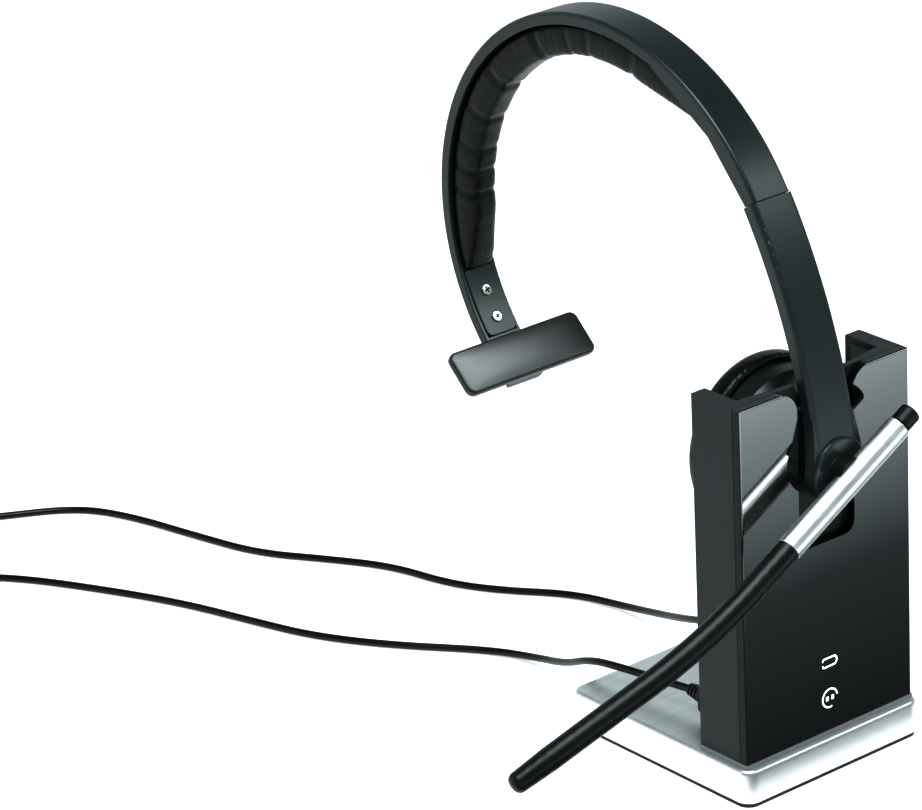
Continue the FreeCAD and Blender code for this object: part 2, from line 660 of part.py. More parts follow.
# ---------------------------------------------------------------- the cords
POWER_ROUTE = [
    V(PLUG_SPACING / 2, PLUG_END_Y, PLUG_Z), V(18.4, 17, 19.6), V(17.2, 34, 19.0), V(19.6, 48, 14.2),
    V(25.6, 67, 7.4), V(29.2, 87, 2.0), V(24.6, 108, CORD_R), V(9.5, 127, CORD_R), V(0.5, 144, CORD_R),
    V(-4.0, 167, CORD_R), V(-15.5, 187, CORD_R), V(-29.5, 208, CORD_R), V(-36.0, 235, CORD_R),
    V(-42.0, 263, CORD_R), V(-51.0, 282.5, CORD_R), V(-74.0, 296, CORD_R), V(-98.0, 306.5, 2.4)]
DATA_ROUTE = [
    V(-PLUG_SPACING / 2, PLUG_END_Y, PLUG_Z), V(-20.4, 17, 18.2), V(-22.8, 33, 17.8), V(-24.2, 44, 16.6),
    V(-20.6, 60, 8.4), V(-16.0, 80, 2.0), V(-22.0, 96, CORD_R), V(-42.0, 121, CORD_R), V(-55.5, 144, CORD_R),
    V(-62.5, 166, CORD_R), V(-70.5, 193, CORD_R), V(-81.0, 217, CORD_R), V(-97.0, 248, CORD_R),
    V(-111.0, 264, CORD_R), V(-130.0, 272, 2.4)]


def cord_tube(name, route):
    """Straight runs joined by arcs as large as the runs allow."""
    edges = []
    last = route[0]
    radii = []
    for before, here, after in zip(route, route[1:], route[2:]):
        back, on = (before - here), (after - here)
        turn = math.pi - back.getAngle(on)
        run = min(back.Length, on.Length)
        radius = 0.45 * run / math.tan(turn / 2)
        reach = 0.45 * run
        radii.append(radius)
        start = here + V(back).normalize() * reach
        end = here + V(on).normalize() * reach
        bisector = (V(back).normalize() + V(on).normalize()).normalize()
        middle = here + bisector * (radius / math.cos(turn / 2) - radius)
        if (start - last).Length > 1e-6:
            edges.append(Part.LineSegment(last, start).toShape())
        edges.append(Part.Arc(start, middle, end).toShape())
        last = end
    edges.append(Part.LineSegment(last, route[-1]).toShape())
    path = Part.Wire(edges)
    first = route[1] - route[0]
    profile = Part.Wire([Part.makeCircle(CORD_R, route[0], first)])
    tube = path.makePipeShell([profile], True, False)
    expected = math.pi * CORD_R ** 2 * path.Length
    print("%s cord: length %.1f, smallest radius %.1f" % (name, path.Length, min(radii)))
    print("    volume %.1f of %.1f" % (tube.Volume, expected))
    return tube


def coil_middle(route):
    """The coil lies beside the route's end, which runs into its outer turn."""
    way = route[-1] - route[-2]
    way = V(way.x, way.y, 0).normalize()
    across = V(-way.y, way.x, 0)
    end = V(route[-1].x, route[-1].y, 0)
    return end + across * COIL_MEAN_R


def coil(route, outer_half):
    """The outer shape of the coiled rest of a cord."""
    middle = coil_middle(route)
    outer = Part.makeCylinder(COIL_MEAN_R + outer_half, COIL_HEIGHT, middle)
    ring = outer.cut(Part.makeCylinder(COIL_MEAN_R - outer_half, COIL_HEIGHT, middle))
    return round_edges(ring, 1.2, lambda e, p: e.Closed and (near(p.z, 0) or near(p.z, COIL_HEIGHT)))


def far_plug(route, outer_half, degrees):
    """The plug at the cord's far end, lying flat beside the coil."""
    middle = coil_middle(route)
    width, length, height = FAR_BODY
    w, start, end = width / 2, FAR_RELIEF, FAR_RELIEF + length
    body = box(-w, w, start, end, 0, height)
    body = round_edges(body, 1.6, lambda e, p: near(p.y, end) or near(abs(p.x), w) and near(p.z, height / 2))
    shell_w, shell_length, shell_h = FAR_SHELL
    x, z = shell_w / 2, (height - shell_h) / 2
    shell = box(-x, x, end, end + shell_length, z, z + shell_h)
    wall = FAR_SHELL_WALL
    mouth = box(-x + wall, x - wall, end + 4.5, end + shell_length + 1, z + wall, z + shell_h - wall)
    relief = Part.makeCone(1.9, 3.0, FAR_RELIEF, V(0, 0, height / 2), V(0, 1, 0))
    piece = body.fuse([shell.cut(mouth), relief])
    piece.translate(V(0, COIL_MEAN_R + outer_half - 0.3, 0))
    piece.rotate(V(0, 0, 0), V(0, 0, 1), degrees)
    piece.translate(middle)
    return piece


# ---------------------------------------------------------------- the ear cup
def cup_shell():
    """A round shell, domed at the front, with an opening for the neck and windows for the controls."""
    def dome(nose_r, side_r, nose_y, side_y):
        bulge = cup_point(side_r * 0.78, nose_y + (side_y - nose_y) * 0.32)
        return (cup_point(nose_r, nose_y), bulge, cup_point(side_r, side_y))
    wall = CUP_WALL
    inner_nose_y = NOSE_Y + wall
    profile = [
        dome(CUP_NOSE_R, CUP_DOME_R, NOSE_Y, DOME_Y),
        (cup_point(CUP_DOME_R, DOME_Y), cup_point(CUP_R, RIM_Y)),
        (cup_point(CUP_R, RIM_Y), cup_point(CUP_R - wall, RIM_Y)),
        (cup_point(CUP_R - wall, RIM_Y), cup_point(CUP_DOME_R - wall, DOME_Y + 0.6)),
        dome(CUP_NOSE_R, CUP_DOME_R - wall, inner_nose_y, DOME_Y + 0.6)[::-1],
        (cup_point(CUP_NOSE_R, inner_nose_y), cup_point(CUP_NOSE_R, NOSE_Y))]
    shell = spin(profile)
    posts = [rod(V(x, DOME_Y - 2.2, z), V(x, BAFFLE_Y, z), 2.2) for x, z in cup_screw_places()]
    shell = shell.fuse(posts).removeSplitter()
    hole_r = SMALL_SCREW_R + SCREW_PLAY
    holes = [rod(V(x, DOME_Y - 1, z), V(x, BAFFLE_Y + 1, z), hole_r) for x, z in cup_screw_places()]
    windows = [around_cup(button_block(*CALL_SIZE, SIDE_PLAY / 2), CALL_ANGLE)]
    windows.append(around_cup(button_block(*ROCKER_SIZE, SIDE_PLAY), ROCKER_ANGLE))
    windows.append(around_cup(button_block(*POWER_SIZE, SIDE_PLAY / 2, POWER_TRAVEL), POWER_ANGLE))
    contacts = [contact_pad(x, SCREW_PLAY) for x in CONTACT_XS]
    return shell.cut(holes + windows + contacts)


def cup_screw_places():
    """Three screws round the cup, clear of the controls."""
    ring = CUP_R - CUP_WALL - 2.6
    turns = [math.radians(a) for a in CUP_SCREW_ANGLES]
    return [(ring * math.cos(t), HUB_Z + ring * math.sin(t)) for t in turns]


def button_block(height, depth, play, travel=0.0):
    """A control on the rim's +X side: its height along Z, its depth along Y."""
    h, d = height / 2 + play, depth / 2 + play
    reach = d + travel / 2
    return box(FOOT_R, CUP_R + 2, CONTROL_Y - reach, CONTROL_Y + reach, HUB_Z - h, HUB_Z + h)


def control(size, angle, y_shift=0.0):
    """A rim control: a cap with a curved top, and a broad foot inside the shell."""
    height, depth = size
    cap = button_block(height, depth, 0.0)
    cap = cap.common(rod(V(0, CONTROL_Y - 5, HUB_Z), V(0, CONTROL_Y + 5, HUB_Z), CUP_R + BUTTON_RISE))
    reach = depth / 2 + FOOT_LEDGE
    r0, r1 = FOOT_R - FOOT_HALF, FOOT_R + FOOT_HALF
    half = height / 2 + FOOT_SIDE_LEDGE
    foot = box(r0, r1, CONTROL_Y - reach, CONTROL_Y + reach, HUB_Z - half, HUB_Z + half)
    piece = cap.fuse(foot).removeSplitter()
    piece.translate(V(0, y_shift, 0))
    return around_cup(piece, angle)


def volume_rocker():
    """The long rocker, with a round pin along its foot to rock on."""
    reach = ROCKER_SIZE[1] / 2 + FOOT_LEDGE
    pin = rod(V(FOOT_R, CONTROL_Y - reach, HUB_Z), V(FOOT_R, CONTROL_Y + reach, HUB_Z), ROCKER_PIN_R)
    return control(ROCKER_SIZE, ROCKER_ANGLE).fuse(around_cup(pin, ROCKER_ANGLE))


def contact_pad(x, play):
    """A charging pad let into the cup's rim, above a sprung pin of the stand."""
    y, rim_z = CONTACT_Y + 1.4, HUB_Z - CUP_R
    pad = rod(V(x, y, rim_z - 1), V(x, y, rim_z + 3), CONTACT_PAD_R + play)
    front, back = V(0, DOME_Y - 2, HUB_Z), V(0, RIM_Y, HUB_Z)
    inside = rod(front, back, CUP_DOME_R - CONTACT_PAD - play)
    return pad.common(rod(front, back, CUP_DOME_R)).cut(inside)


def cup_baffle():
    """The plate behind the speaker, with two ears that carry the pivot pin."""
    baffle = rod(V(0, BAFFLE_Y, HUB_Z), V(0, RIM_Y, HUB_Z), CUP_R - CUP_WALL - 0.15)
    inner = PIVOT_EYE_HALF + SIDE_PLAY
    for side in (-1, 1):
        x = sorted((side * inner, side * (inner + PIVOT_EAR)))
        ear = box(x[0], x[1], PIVOT_Y, BAFFLE_Y + 0.2, HUB_Z - PIVOT_EYE_R, HUB_Z + PIVOT_EYE_R)
        ear = ear.fuse(rod(V(x[0], PIVOT_Y, HUB_Z), V(x[1], PIVOT_Y, HUB_Z), PIVOT_EYE_R))
        baffle = baffle.fuse(ear)
    baffle = baffle.removeSplitter()
    reach = inner + PIVOT_EAR + 1
    holes = [rod(V(-reach, PIVOT_Y, HUB_Z), V(reach, PIVOT_Y, HUB_Z), PIVOT_PIN_R + 0.02)]
    hole_r = SMALL_SCREW_R + SCREW_PLAY
    holes += [rod(V(x, BAFFLE_Y - 1, z), V(x, RIM_Y + 1, z), hole_r) for x, z in cup_screw_places()]
    holes += [rod(V(x, RIM_Y - 0.9, z), V(x, RIM_Y + 1, z), 1.9) for x, z in cup_screw_places()]
    return baffle.cut(holes)


def pivot_pin():
    reach = PIVOT_EYE_HALF + SIDE_PLAY + PIVOT_EAR
    return rod(V(-reach, PIVOT_Y, HUB_Z), V(reach, PIVOT_Y, HUB_Z), PIVOT_PIN_R)


def cup_screws():
    sizes = (3.6, SMALL_SCREW_R, 1.7, 0.8)
    return [screw(V(x, RIM_Y - 0.9, z), V(0, -1, 0), *sizes) for x, z in cup_screw_places()]


def headset_battery():
    pack = box(-11, 11, BAFFLE_Y - 4.6, BAFFLE_Y, HUB_Z + 5.5, HUB_Z + 17.0)
    return round_edges(pack, 1.0, lambda e, p: near(abs(p.x), 11) and e.Length > 5)


def cup_circuit_board():
    outline = rod(V(0, BAFFLE_Y - 1.0, HUB_Z), V(0, BAFFLE_Y, HUB_Z), 17.5)
    return outline.common(box(-16, 16, BAFFLE_Y - 1.0, BAFFLE_Y, HUB_Z - 20, HUB_Z - 5.0))


def speaker_driver():
    frame = rod(V(0, RIM_Y, HUB_Z), V(0, RIM_Y + SPEAKER_THICKNESS, HUB_Z), SPEAKER_R)
    face = V(0, RIM_Y + SPEAKER_THICKNESS, HUB_Z)
    cone = Part.makeCone(SPEAKER_R - 1.6, 4.0, SPEAKER_THICKNESS - 1.2, face, V(0, -1, 0))
    return frame.cut(cone)


def speaker_screen():
    y = RIM_Y + SPEAKER_THICKNESS
    return rod(V(0, y, HUB_Z), V(0, y + SCREEN_THICKNESS, HUB_Z), SPEAKER_R)


def ear_cushion():
    """A soft ring that lies against the ear."""
    width = CUSHION_R - CUSHION_HOLE_R
    back_y = RIM_Y + CUSHION_THICKNESS
    ring = rod(V(0, RIM_Y, HUB_Z), V(0, back_y, HUB_Z), CUSHION_R)
    ring = ring.cut(rod(V(0, RIM_Y - 1, HUB_Z), V(0, back_y + 1, HUB_Z), CUSHION_HOLE_R))
    radius = min(CUSHION_ROUND_R, width * 0.45)
    return round_edges(ring, radius, lambda e, p: e.Closed)


# ---------------------------------------------------------------- the arm
def small_screw_holes(headings, inset, depth):
    return [across_line(h, inset, depth, SMALL_SCREW_R + SCREW_PLAY) for h in headings]


def slider_tongue():
    """The thin steel tongue that slides inside the headband, on the band's front arc."""
    first, last = JOINT_HEADING + TONGUE_IN_ARM, JOINT_HEADING - TONGUE_IN_BAND
    arc = (LINE_ARCS[1][0], LINE_ARCS[1][1], FRONT_R, first, last)
    tongue = slab(first, last, TONGUE_INSET, TONGUE_INSET + TONGUE_THICKNESS, TONGUE_WIDTH, [arc])
    heading = ARM_SCREW_HEADINGS[0]
    return tongue.cut(across_line(heading, 0, ARM_THICKNESS, 1.0))


def slider_arm():
    """The arm's outer moulding, flared at its foot into the round hub."""
    top = ARM_TOP_HEADING
    arm = slab(HUB_HEADING, top, 0, ARM_THICKNESS, ARM_WIDTH, LINE_ARCS[:1])
    arm = round_edges(arm, ARM_EDGE_R, long_edge(ARM_WIDTH, 0))
    arm = round_edges(arm, 0.6, long_edge(ARM_WIDTH, ARM_THICKNESS))
    inner_width = ARM_WIDTH - 2 * ARM_WALL
    arm = arm.cut(slab(ARM_COVER_FOOT, top, ARM_WALL, ARM_THICKNESS, inner_width, LINE_ARCS[:1]))
    hub_back = ARM_FACE_Y + HUB_THICKNESS
    hub = rod(V(0, ARM_FACE_Y, HUB_Z), V(0, hub_back, HUB_Z), HUB_R)
    hub = round_edges(hub, 0.7, lambda e, p: e.Closed)
    low, high = HUB_Z + 3.6, HUB_Z + FLARE_HEIGHT
    half, foot_half = ARM_WIDTH / 2, HUB_R * 0.94
    outline = [(-foot_half, low, 0), (foot_half, low, 0), (half, high, 0), (-half, high, 0)]
    flare = rounded_face(outline, lambda p: V(p.x, FRONT_Y - 20, p.y)).extrude(V(0, 40, 0))
    layer = slab(HUB_HEADING, HUB_HEADING - 6, 0.4, ARM_THICKNESS - 0.4, 2 * HUB_R, LINE_ARCS[:1])
    flare = flare.common(layer)
    neck = rod(V(0, hub_back - 1, HUB_Z), V(0, PIVOT_Y - 4.2, HUB_Z), NECK_R)
    w, r = PIVOT_EYE_HALF, PIVOT_EYE_R
    tongue = box(-w, w, PIVOT_Y - 6, PIVOT_Y, HUB_Z - r, HUB_Z + r)
    eye = rod(V(-w, PIVOT_Y, HUB_Z), V(w, PIVOT_Y, HUB_Z), r)
    arm = arm.fuse([hub, flare, neck, tongue, eye]).removeSplitter()
    holes = [rod(V(-9, PIVOT_Y, HUB_Z), V(9, PIVOT_Y, HUB_Z), PIVOT_PIN_R + RUNNING_CLEARANCE)]
    holes.append(rod(V(0, ARM_FACE_Y - 1, HUB_Z), V(0, hub_back - 0.6, HUB_Z), SPINDLE_R + RUNNING_CLEARANCE))
    holes += small_screw_holes(ARM_SCREW_HEADINGS, 0.5, ARM_WALL + 0.2)
    return arm.cut(holes)


def arm_cover():
    """The inner cover that closes the arm."""
    top = ARM_TOP_HEADING
    depth0 = ARM_THICKNESS - ARM_COVER
    width = ARM_WIDTH - 2 * ARM_WALL - 0.2
    cover = slab(ARM_COVER_FOOT - 0.03, top, depth0, ARM_THICKNESS, width, LINE_ARCS[:1])
    return cover.cut(small_screw_holes(ARM_SCREW_HEADINGS, ARM_WALL, ARM_THICKNESS + 1))


def arm_screws():
    found = []
    for heading in ARM_SCREW_HEADINGS:
        head = line_point(heading, ARM_THICKNESS)
        way = line_point(heading, 0) - head
        found.append(screw(head, way, ARM_THICKNESS - 0.6, SMALL_SCREW_R, 1.6, 0.7))
    return found


# ---------------------------------------------------------------- the headband
def front_cheeks():
    """What the cheeks gain in front of the pad: their inner face is flat there, and not round."""
    start = line_point(CHEEK_RISE_HEADING, BAND_THICKNESS)
    pad = line_point(PAD_START_HEADING, CHEEK_PAD_DEPTH)
    joint = line_point(BAND_TOP_HEADING, CHEEK_JOINT_DEPTH)
    root = line_point(BAND_TOP_HEADING, BAND_SKIN)
    count = 9
    span = (CHEEK_RISE_HEADING - BAND_TOP_HEADING) / count
    inside = [line_point(BAND_TOP_HEADING + span * k, BAND_THICKNESS - 0.6) for k in range(1, count)]
    outline = [start, pad, joint, root] + inside
    face = Part.Face(Part.makePolygon(outline + [start]))
    half = BAND_WIDTH / 2
    left, right = face.copy(), face.copy()
    left.translate(V(-half, 0, 0))
    right.translate(V(half - BAND_CHEEK, 0, 0))
    return [part.extrude(V(BAND_CHEEK, 0, 0)) for part in (left, right)]


def headband_shell():
    """A hollow band: a skin and two cheeks, open inwards, with a solid rear end."""
    band = LINE_ARCS[1:]
    shell = slab(BAND_TOP_HEADING, END_HEADING, 0, BAND_THICKNESS, BAND_WIDTH, band)
    shell = round_edges(shell, BAND_EDGE_R, long_edge(BAND_WIDTH, 0))
    shell = round_edges(shell, 0.4, long_edge(BAND_WIDTH, BAND_THICKNESS))
    inner_width = BAND_WIDTH - 2 * BAND_CHEEK
    cavity = slab(BAND_TOP_HEADING, PLATE_END_HEADING, BAND_SKIN, BAND_THICKNESS + 0.5, inner_width, band)
    shell = shell.cut(cavity).fuse(front_cheeks()).removeSplitter()
    pin_place = line_point(T_BAR_HEADING, T_BAR_PIVOT_INSET)
    half = T_BAR_LUG_HALF + 0.3
    slot = rod(pin_place - V(half, 0, 0), pin_place + V(half, 0, 0), T_BAR_EYE_R + 0.3)
    mouth = on_t_bar(box(-half, half, -4, 0, -2.4, 2.4))
    hole_r = T_BAR_PIN_R + RUNNING_CLEARANCE
    pin_hole = rod(pin_place - V(T_BAR_PIN_START + 0.1, 0, 0), pin_place + V(BAND_WIDTH, 0, 0), hole_r)
    shell = shell.cut([slot, mouth, pin_hole])
    return shell.cut(small_screw_holes(PLATE_SCREW_HEADINGS, 0.5, 2.0))


def headband_liner():
    """The inner strip that closes the band under the pad."""
    width = BAND_WIDTH - 2 * BAND_CHEEK - 0.2
    first, last = BAND_TOP_HEADING - 0.2, PAD_END_HEADING + 0.1
    return slab(first, last, BAND_THICKNESS - LINER_BAND, BAND_THICKNESS, width, LINE_ARCS[1:])


def spring_strip():
    """The spring steel strip that makes the band grip."""
    first, last = BAND_TOP_HEADING - 1, PLATE_END_HEADING + 0.4
    strip = slab(first, last, BAND_SKIN, BAND_SKIN + STRIP_THICKNESS, STRIP_WIDTH, LINE_ARCS[1:])
    return strip.cut(small_screw_holes(PLATE_SCREW_HEADINGS, 0, 4))


def end_plate():
    """The raised plate that clamps the strip, with two screws."""
    width = BAND_WIDTH - 2 * BAND_CHEEK - 0.2
    depth0 = BAND_SKIN + STRIP_THICKNESS
    depth1 = BAND_THICKNESS + PLATE_RISE
    first, last = PAD_END_HEADING - 0.1, PLATE_END_HEADING + 0.1
    plate = slab(first, last, depth0, depth1, width, LINE_ARCS[1:])
    foot = line_point(last, (depth0 + depth1) / 2)

    def at_foot(edge, p):
        return near(abs(p.x), width / 2) and (V(0, p.y, p.z) - foot).Length < 0.5 and edge.Length < 6

    plate = round_edges(plate, PLATE_CORNER_R, at_foot)
    plate = round_edges(plate, 0.3, long_edge(width, depth1))
    return plate.cut(small_screw_holes(PLATE_SCREW_HEADINGS, 0, 6))


def plate_screws():
    """The heads stand clear of the plate's hollow face by its sag under them."""
    found = []
    hollow_r = LINE_ARCS[2][2] - BAND_THICKNESS - PLATE_RISE
    sag = PLATE_HEAD_R ** 2 / (2 * hollow_r) + 0.01
    for heading in PLATE_SCREW_HEADINGS:
        head = line_point(heading, BAND_THICKNESS + PLATE_RISE + sag)
        way = line_point(heading, 0) - head
        length = BAND_THICKNESS + PLATE_RISE - 0.6
        found.append(screw(head, way, length, SMALL_SCREW_R, PLATE_HEAD_R, 0.7))
    return found


def headband_pad():
    """A soft pad along the inside of the band, thinning towards both ends."""
    depth = BAND_THICKNESS + PAD_THICKNESS
    pad = slab(PAD_START_HEADING, PAD_END_HEADING, BAND_THICKNESS, depth, PAD_WIDTH, LINE_ARCS[1:])
    pad = round_edges(pad, PAD_ROUND_R, long_edge(PAD_WIDTH, depth))
    front = (PAD_START_HEADING, PAD_FULL_HEADING, PAD_FRONT_END)
    rear = (PAD_END_HEADING, PAD_THIN_HEADING, PAD_REAR_END)
    for end, full, thin in (front, rear):
        low = line_point(end, BAND_THICKNESS + thin)
        high = line_point(full, depth)
        along = (high - low).normalize()
        outwards = (line_point(end, BAND_THICKNESS + 30) - low).normalize()
        far = (line_point(end, 0) - line_point(full, 0)).normalize() * 30
        start = low - along * 8
        corners = [start, high + along * 0.01, high + outwards * 30]
        corners += [low + outwards * 30 + far, start + far, start]
        face = Part.Face(Part.makePolygon([c - V(20, 0, 0) for c in corners]))
        pad = pad.cut(face.extrude(V(40, 0, 0)))
    return pad


# ---------------------------------------------------------------- the T-bar
def on_t_bar(shape):
    """Place a piece made about the T-bar's pivot: local +Y points out of the arch."""
    copy = shape.copy()
    copy.rotate(V(0, 0, 0), V(1, 0, 0), T_BAR_HEADING + 90)
    copy.translate(line_point(T_BAR_HEADING, T_BAR_PIVOT_INSET))
    return copy


def t_bar_core_block(play):
    half, high = T_BAR_LENGTH / 2 - 3, T_BAR_HEIGHT / 2 - 2
    w, h = half + play, high + play
    return box(-w, w, -T_BAR_BACK - T_BAR_CORE - play, -T_BAR_BACK, -h, h)


def t_bar_core():
    """The stiff plate inside the pad, with the lug that the pin goes through."""
    lug = box(-T_BAR_LUG_HALF, T_BAR_LUG_HALF, -T_BAR_BACK - 0.1, 0, -1.5, 1.5)
    eye = rod(V(-T_BAR_LUG_HALF, 0, 0), V(T_BAR_LUG_HALF, 0, 0), T_BAR_EYE_R)
    core = t_bar_core_block(0).fuse([lug, eye]).removeSplitter()
    return on_t_bar(core.cut(rod(V(-9, 0, 0), V(9, 0, 0), T_BAR_PIN_R + RUNNING_CLEARANCE)))


def t_bar_pad():
    """The rubber bar that rests above the other ear."""
    w, h = T_BAR_LENGTH / 2, T_BAR_HEIGHT / 2
    corners = [(-w, -h, T_BAR_ROUND_R), (w, -h, T_BAR_ROUND_R), (w, h, T_BAR_ROUND_R), (-w, h, T_BAR_ROUND_R)]
    pad = rounded_face(corners, lambda p: V(p.x, -T_BAR_FACE, p.y)).extrude(V(0, T_BAR_FACE - T_BAR_BACK, 0))
    pad = round_edges(pad, 0.7, lambda e, p: near(p.y, -T_BAR_FACE))
    pad = round_edges(pad, 1.2, lambda e, p: near(p.y, -T_BAR_BACK))
    return on_t_bar(pad.cut(t_bar_core_block(0.02)))


def t_bar_pin():
    place = line_point(T_BAR_HEADING, T_BAR_PIVOT_INSET)
    return rod(place - V(T_BAR_PIN_START, 0, 0), place + V(BAND_WIDTH / 2 - 0.2, 0, 0), T_BAR_PIN_R)


# ---------------------------------------------------------------- the boom
def boom_place(along):
    """A point on the boom's axis, measured from the hub towards the microphone."""
    return V(0, BOOM_Y, HUB_Z) + BOOM_WAY * along


def boom_boss(play=0.0):
    start = ARM_FACE_Y - WASHER_THICKNESS - 0.1
    return rod(V(0, start, HUB_Z), V(0, BOOM_Y, HUB_Z), BOSS_R + play)


def boom_sleeve():
    sleeve = rod(boom_place(-BOOM_TOP), boom_place(BOOM_FOOT), BOOM_R)
    sleeve = round_edges(sleeve, 0.25, lambda e, p: e.Closed)
    bore = rod(boom_place(-BOOM_TOP - 1), boom_place(BOOM_FOOT + 1), BOOM_R - BOOM_WALL)
    return sleeve.cut([bore, boom_boss(0.1)])


def boom_core():
    """The core inside the sleeve, with the boss that turns on the hub."""
    core = rod(boom_place(-BOOM_TOP + MUTE_LENGTH), boom_place(BOOM_FOOT), BOOM_R - BOOM_WALL - 0.05)
    core = core.fuse(boom_boss()).removeSplitter()
    return core.cut(rod(V(0, BOOM_Y - 1, HUB_Z), V(0, FRONT_Y, HUB_Z), SPINDLE_R + 0.02))


def boom_spindle():
    return rod(V(0, BOOM_Y - 0.9, HUB_Z), V(0, ARM_FACE_Y + HUB_THICKNESS - 0.8, HUB_Z), SPINDLE_R)


def boom_washer():
    start = ARM_FACE_Y - WASHER_THICKNESS
    ring = rod(V(0, start, HUB_Z), V(0, ARM_FACE_Y, HUB_Z), BOSS_R - 0.4)
    return ring.cut(rod(V(0, start - 1, HUB_Z), V(0, ARM_FACE_Y + 1, HUB_Z), SPINDLE_R + 0.1))


def gooseneck_path():
    """The neck's centre line: straight, a gentle bend, then straight."""
    lean = math.radians(GOOSENECK_LEAN)
    upwards = V(0, 1, 0).cross(BOOM_WAY)
    side = upwards * math.cos(lean) + V(0, 1, 0) * math.sin(lean)
    bend = math.radians(GOOSENECK_BEND)
    radius = GOOSENECK_BEND_LENGTH / bend
    start = boom_place(BOOM_FOOT)
    knee = start + BOOM_WAY * GOOSENECK_STRAIGHT
    centre = knee + side * radius
    points = []
    for turn in (bend / 2, bend):
        points.append(centre - side * radius * math.cos(turn) + BOOM_WAY * radius * math.sin(turn))
    end_way = BOOM_WAY * math.cos(bend) + side * math.sin(bend)
    end = points[1] + end_way * GOOSENECK_END
    return start, knee, points, end, end_way


def gooseneck():
    start, knee, points, end, _ = gooseneck_path()
    parts = [Part.LineSegment(start, knee), Part.Arc(knee, *points), Part.LineSegment(points[1], end)]
    edges = [part.toShape() for part in parts]
    profile = Part.Wire([Part.makeCircle(GOOSENECK_R, start, BOOM_WAY)])
    return Part.Wire(edges).makePipeShell([profile], True, False)


def microphone():
    """The microphone's housing at the neck's end, with a rounded nose."""
    _, _, _, end, way = gooseneck_path()
    body = Part.makeCone(GOOSENECK_R, MIC_TIP_R, MIC_LENGTH, end, way)
    tip = end + way * MIC_LENGTH
    body = round_edges(body, MIC_TIP_R * 0.8, lambda e, p: abs((p - tip).dot(way)) < 1e-3 and e.Closed)
    ports = []
    for k in range(3):
        middle = end + way * (MIC_LENGTH - 5.0 - 1.8 * k)
        ports.append(rod(middle, middle + V(0, 6, 0), 0.5))
    return body.cut(ports)


def mute_button():
    """The cap at the boom's upper end, on a stem that goes into the sleeve."""
    gap = BOOM_TOP + MUTE_TRAVEL_GAP
    cap = rod(boom_place(-gap - MUTE_LENGTH), boom_place(-gap), MUTE_R)
    top = boom_place(-gap - MUTE_LENGTH)
    cap = round_edges(cap, 0.8, lambda e, p: e.Closed and (p - top).dot(BOOM_WAY) < 1e-3)
    stem = rod(boom_place(-gap), boom_place(-BOOM_TOP + MUTE_LENGTH - 1.0), 2.2)
    return cap.fuse(stem)


# ---------------------------------------------------------------- write every node
def save_lead(name, side, route, coil_half, plug_turn):
    save(socket(side), name + "_socket")
    save(plug(side), name + "_plug")
    save(cord_tube(name, route), name + "_cord")
    save(coil(route, coil_half), name + "_coil")
    save(far_plug(route, coil_half, plug_turn), name + "_far_plug")


def main():
    save(foot_pad(), "foot_pad")
    save(base_plate(), "base_plate")
    save(ballast_plate(), "ballast_plate")
    save(Part.makeCompound(base_screws()), "base_screws")
    save(foot_trim(), "foot_trim")
    save(upright_housing(), "upright_housing")
    save(front_panel(), "front_panel")
    save(Part.makeCompound([liner_pocket(side, LINER_THICKNESS) for side in (-1, 1)]), "channel_liners")
    save(cradle_seat(), "cradle_seat")
    save(Part.makeCompound([contact_bar(x, 0) for x in CONTACT_XS]), "charging_pins")
    save(circuit_board(), "stand_circuit_board")
    save(Part.makeCompound(board_screws()), "board_screws")
    save(light_guide_bar(ICON_HEIGHTS[0], 0), "battery_light_guide")
    save(light_guide_bar(ICON_HEIGHTS[1], 0), "headset_light_guide")
    save(rear_cover(), "rear_cover")
    save(Part.makeCompound(rear_cover_screws()), "rear_cover_screws")
    save_lead("power", 1, POWER_ROUTE, POWER_COIL_HALF, POWER_PLUG_TURN)
    save_lead("data", -1, DATA_ROUTE, DATA_COIL_HALF, DATA_PLUG_TURN)
    save(cup_shell(), "cup_shell")
    save(cup_baffle(), "cup_baffle")
    save(pivot_pin(), "cup_pivot_pin")
    save(Part.makeCompound(cup_screws()), "cup_screws")
    save(Part.makeCompound([contact_pad(x, 0) for x in CONTACT_XS]), "cup_contacts")
    save(headset_battery(), "headset_battery")
    save(cup_circuit_board(), "cup_circuit_board")
    save(speaker_driver(), "speaker_driver")
    save(speaker_screen(), "speaker_screen")
    save(ear_cushion(), "ear_cushion")
    save(control(CALL_SIZE, CALL_ANGLE), "call_button")
    save(volume_rocker(), "volume_rocker")
    save(control(POWER_SIZE, POWER_ANGLE, -POWER_TRAVEL / 2), "power_slider")
    save(slider_arm(), "slider_arm")
    save(arm_cover(), "arm_cover")
    save(Part.makeCompound(arm_screws()), "arm_screws")
    save(slider_tongue(), "slider_tongue")
    save(headband_shell(), "headband_shell")
    save(headband_liner(), "headband_liner")
    save(spring_strip(), "spring_strip")
    save(headband_pad(), "headband_pad")
    save(end_plate(), "end_plate")
    save(Part.makeCompound(plate_screws()), "plate_screws")
    save(t_bar_core(), "t_bar_core")
    save(t_bar_pad(), "t_bar_pad")
    save(t_bar_pin(), "t_bar_pin")
    save(boom_sleeve(), "boom_sleeve")
    save(boom_core(), "boom_core")
    save(boom_spindle(), "boom_spindle")
    save(boom_washer(), "boom_washer")
    save(gooseneck(), "gooseneck")
    save(microphone(), "microphone")
    save(mute_button(), "mute_button")
    print("slide centre", SLIDE_CENTRE, "t-bar pivot", line_point(T_BAR_HEADING, T_BAR_PIVOT_INSET))
    print("hub", HUB_Z, "boom way", BOOM_WAY, "pivot y", PIVOT_Y)


main()
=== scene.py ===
"""Looks for the office headset in its charging stand."""
import json
import math

import bmesh
import bpy
from mathutils import Matrix, Vector

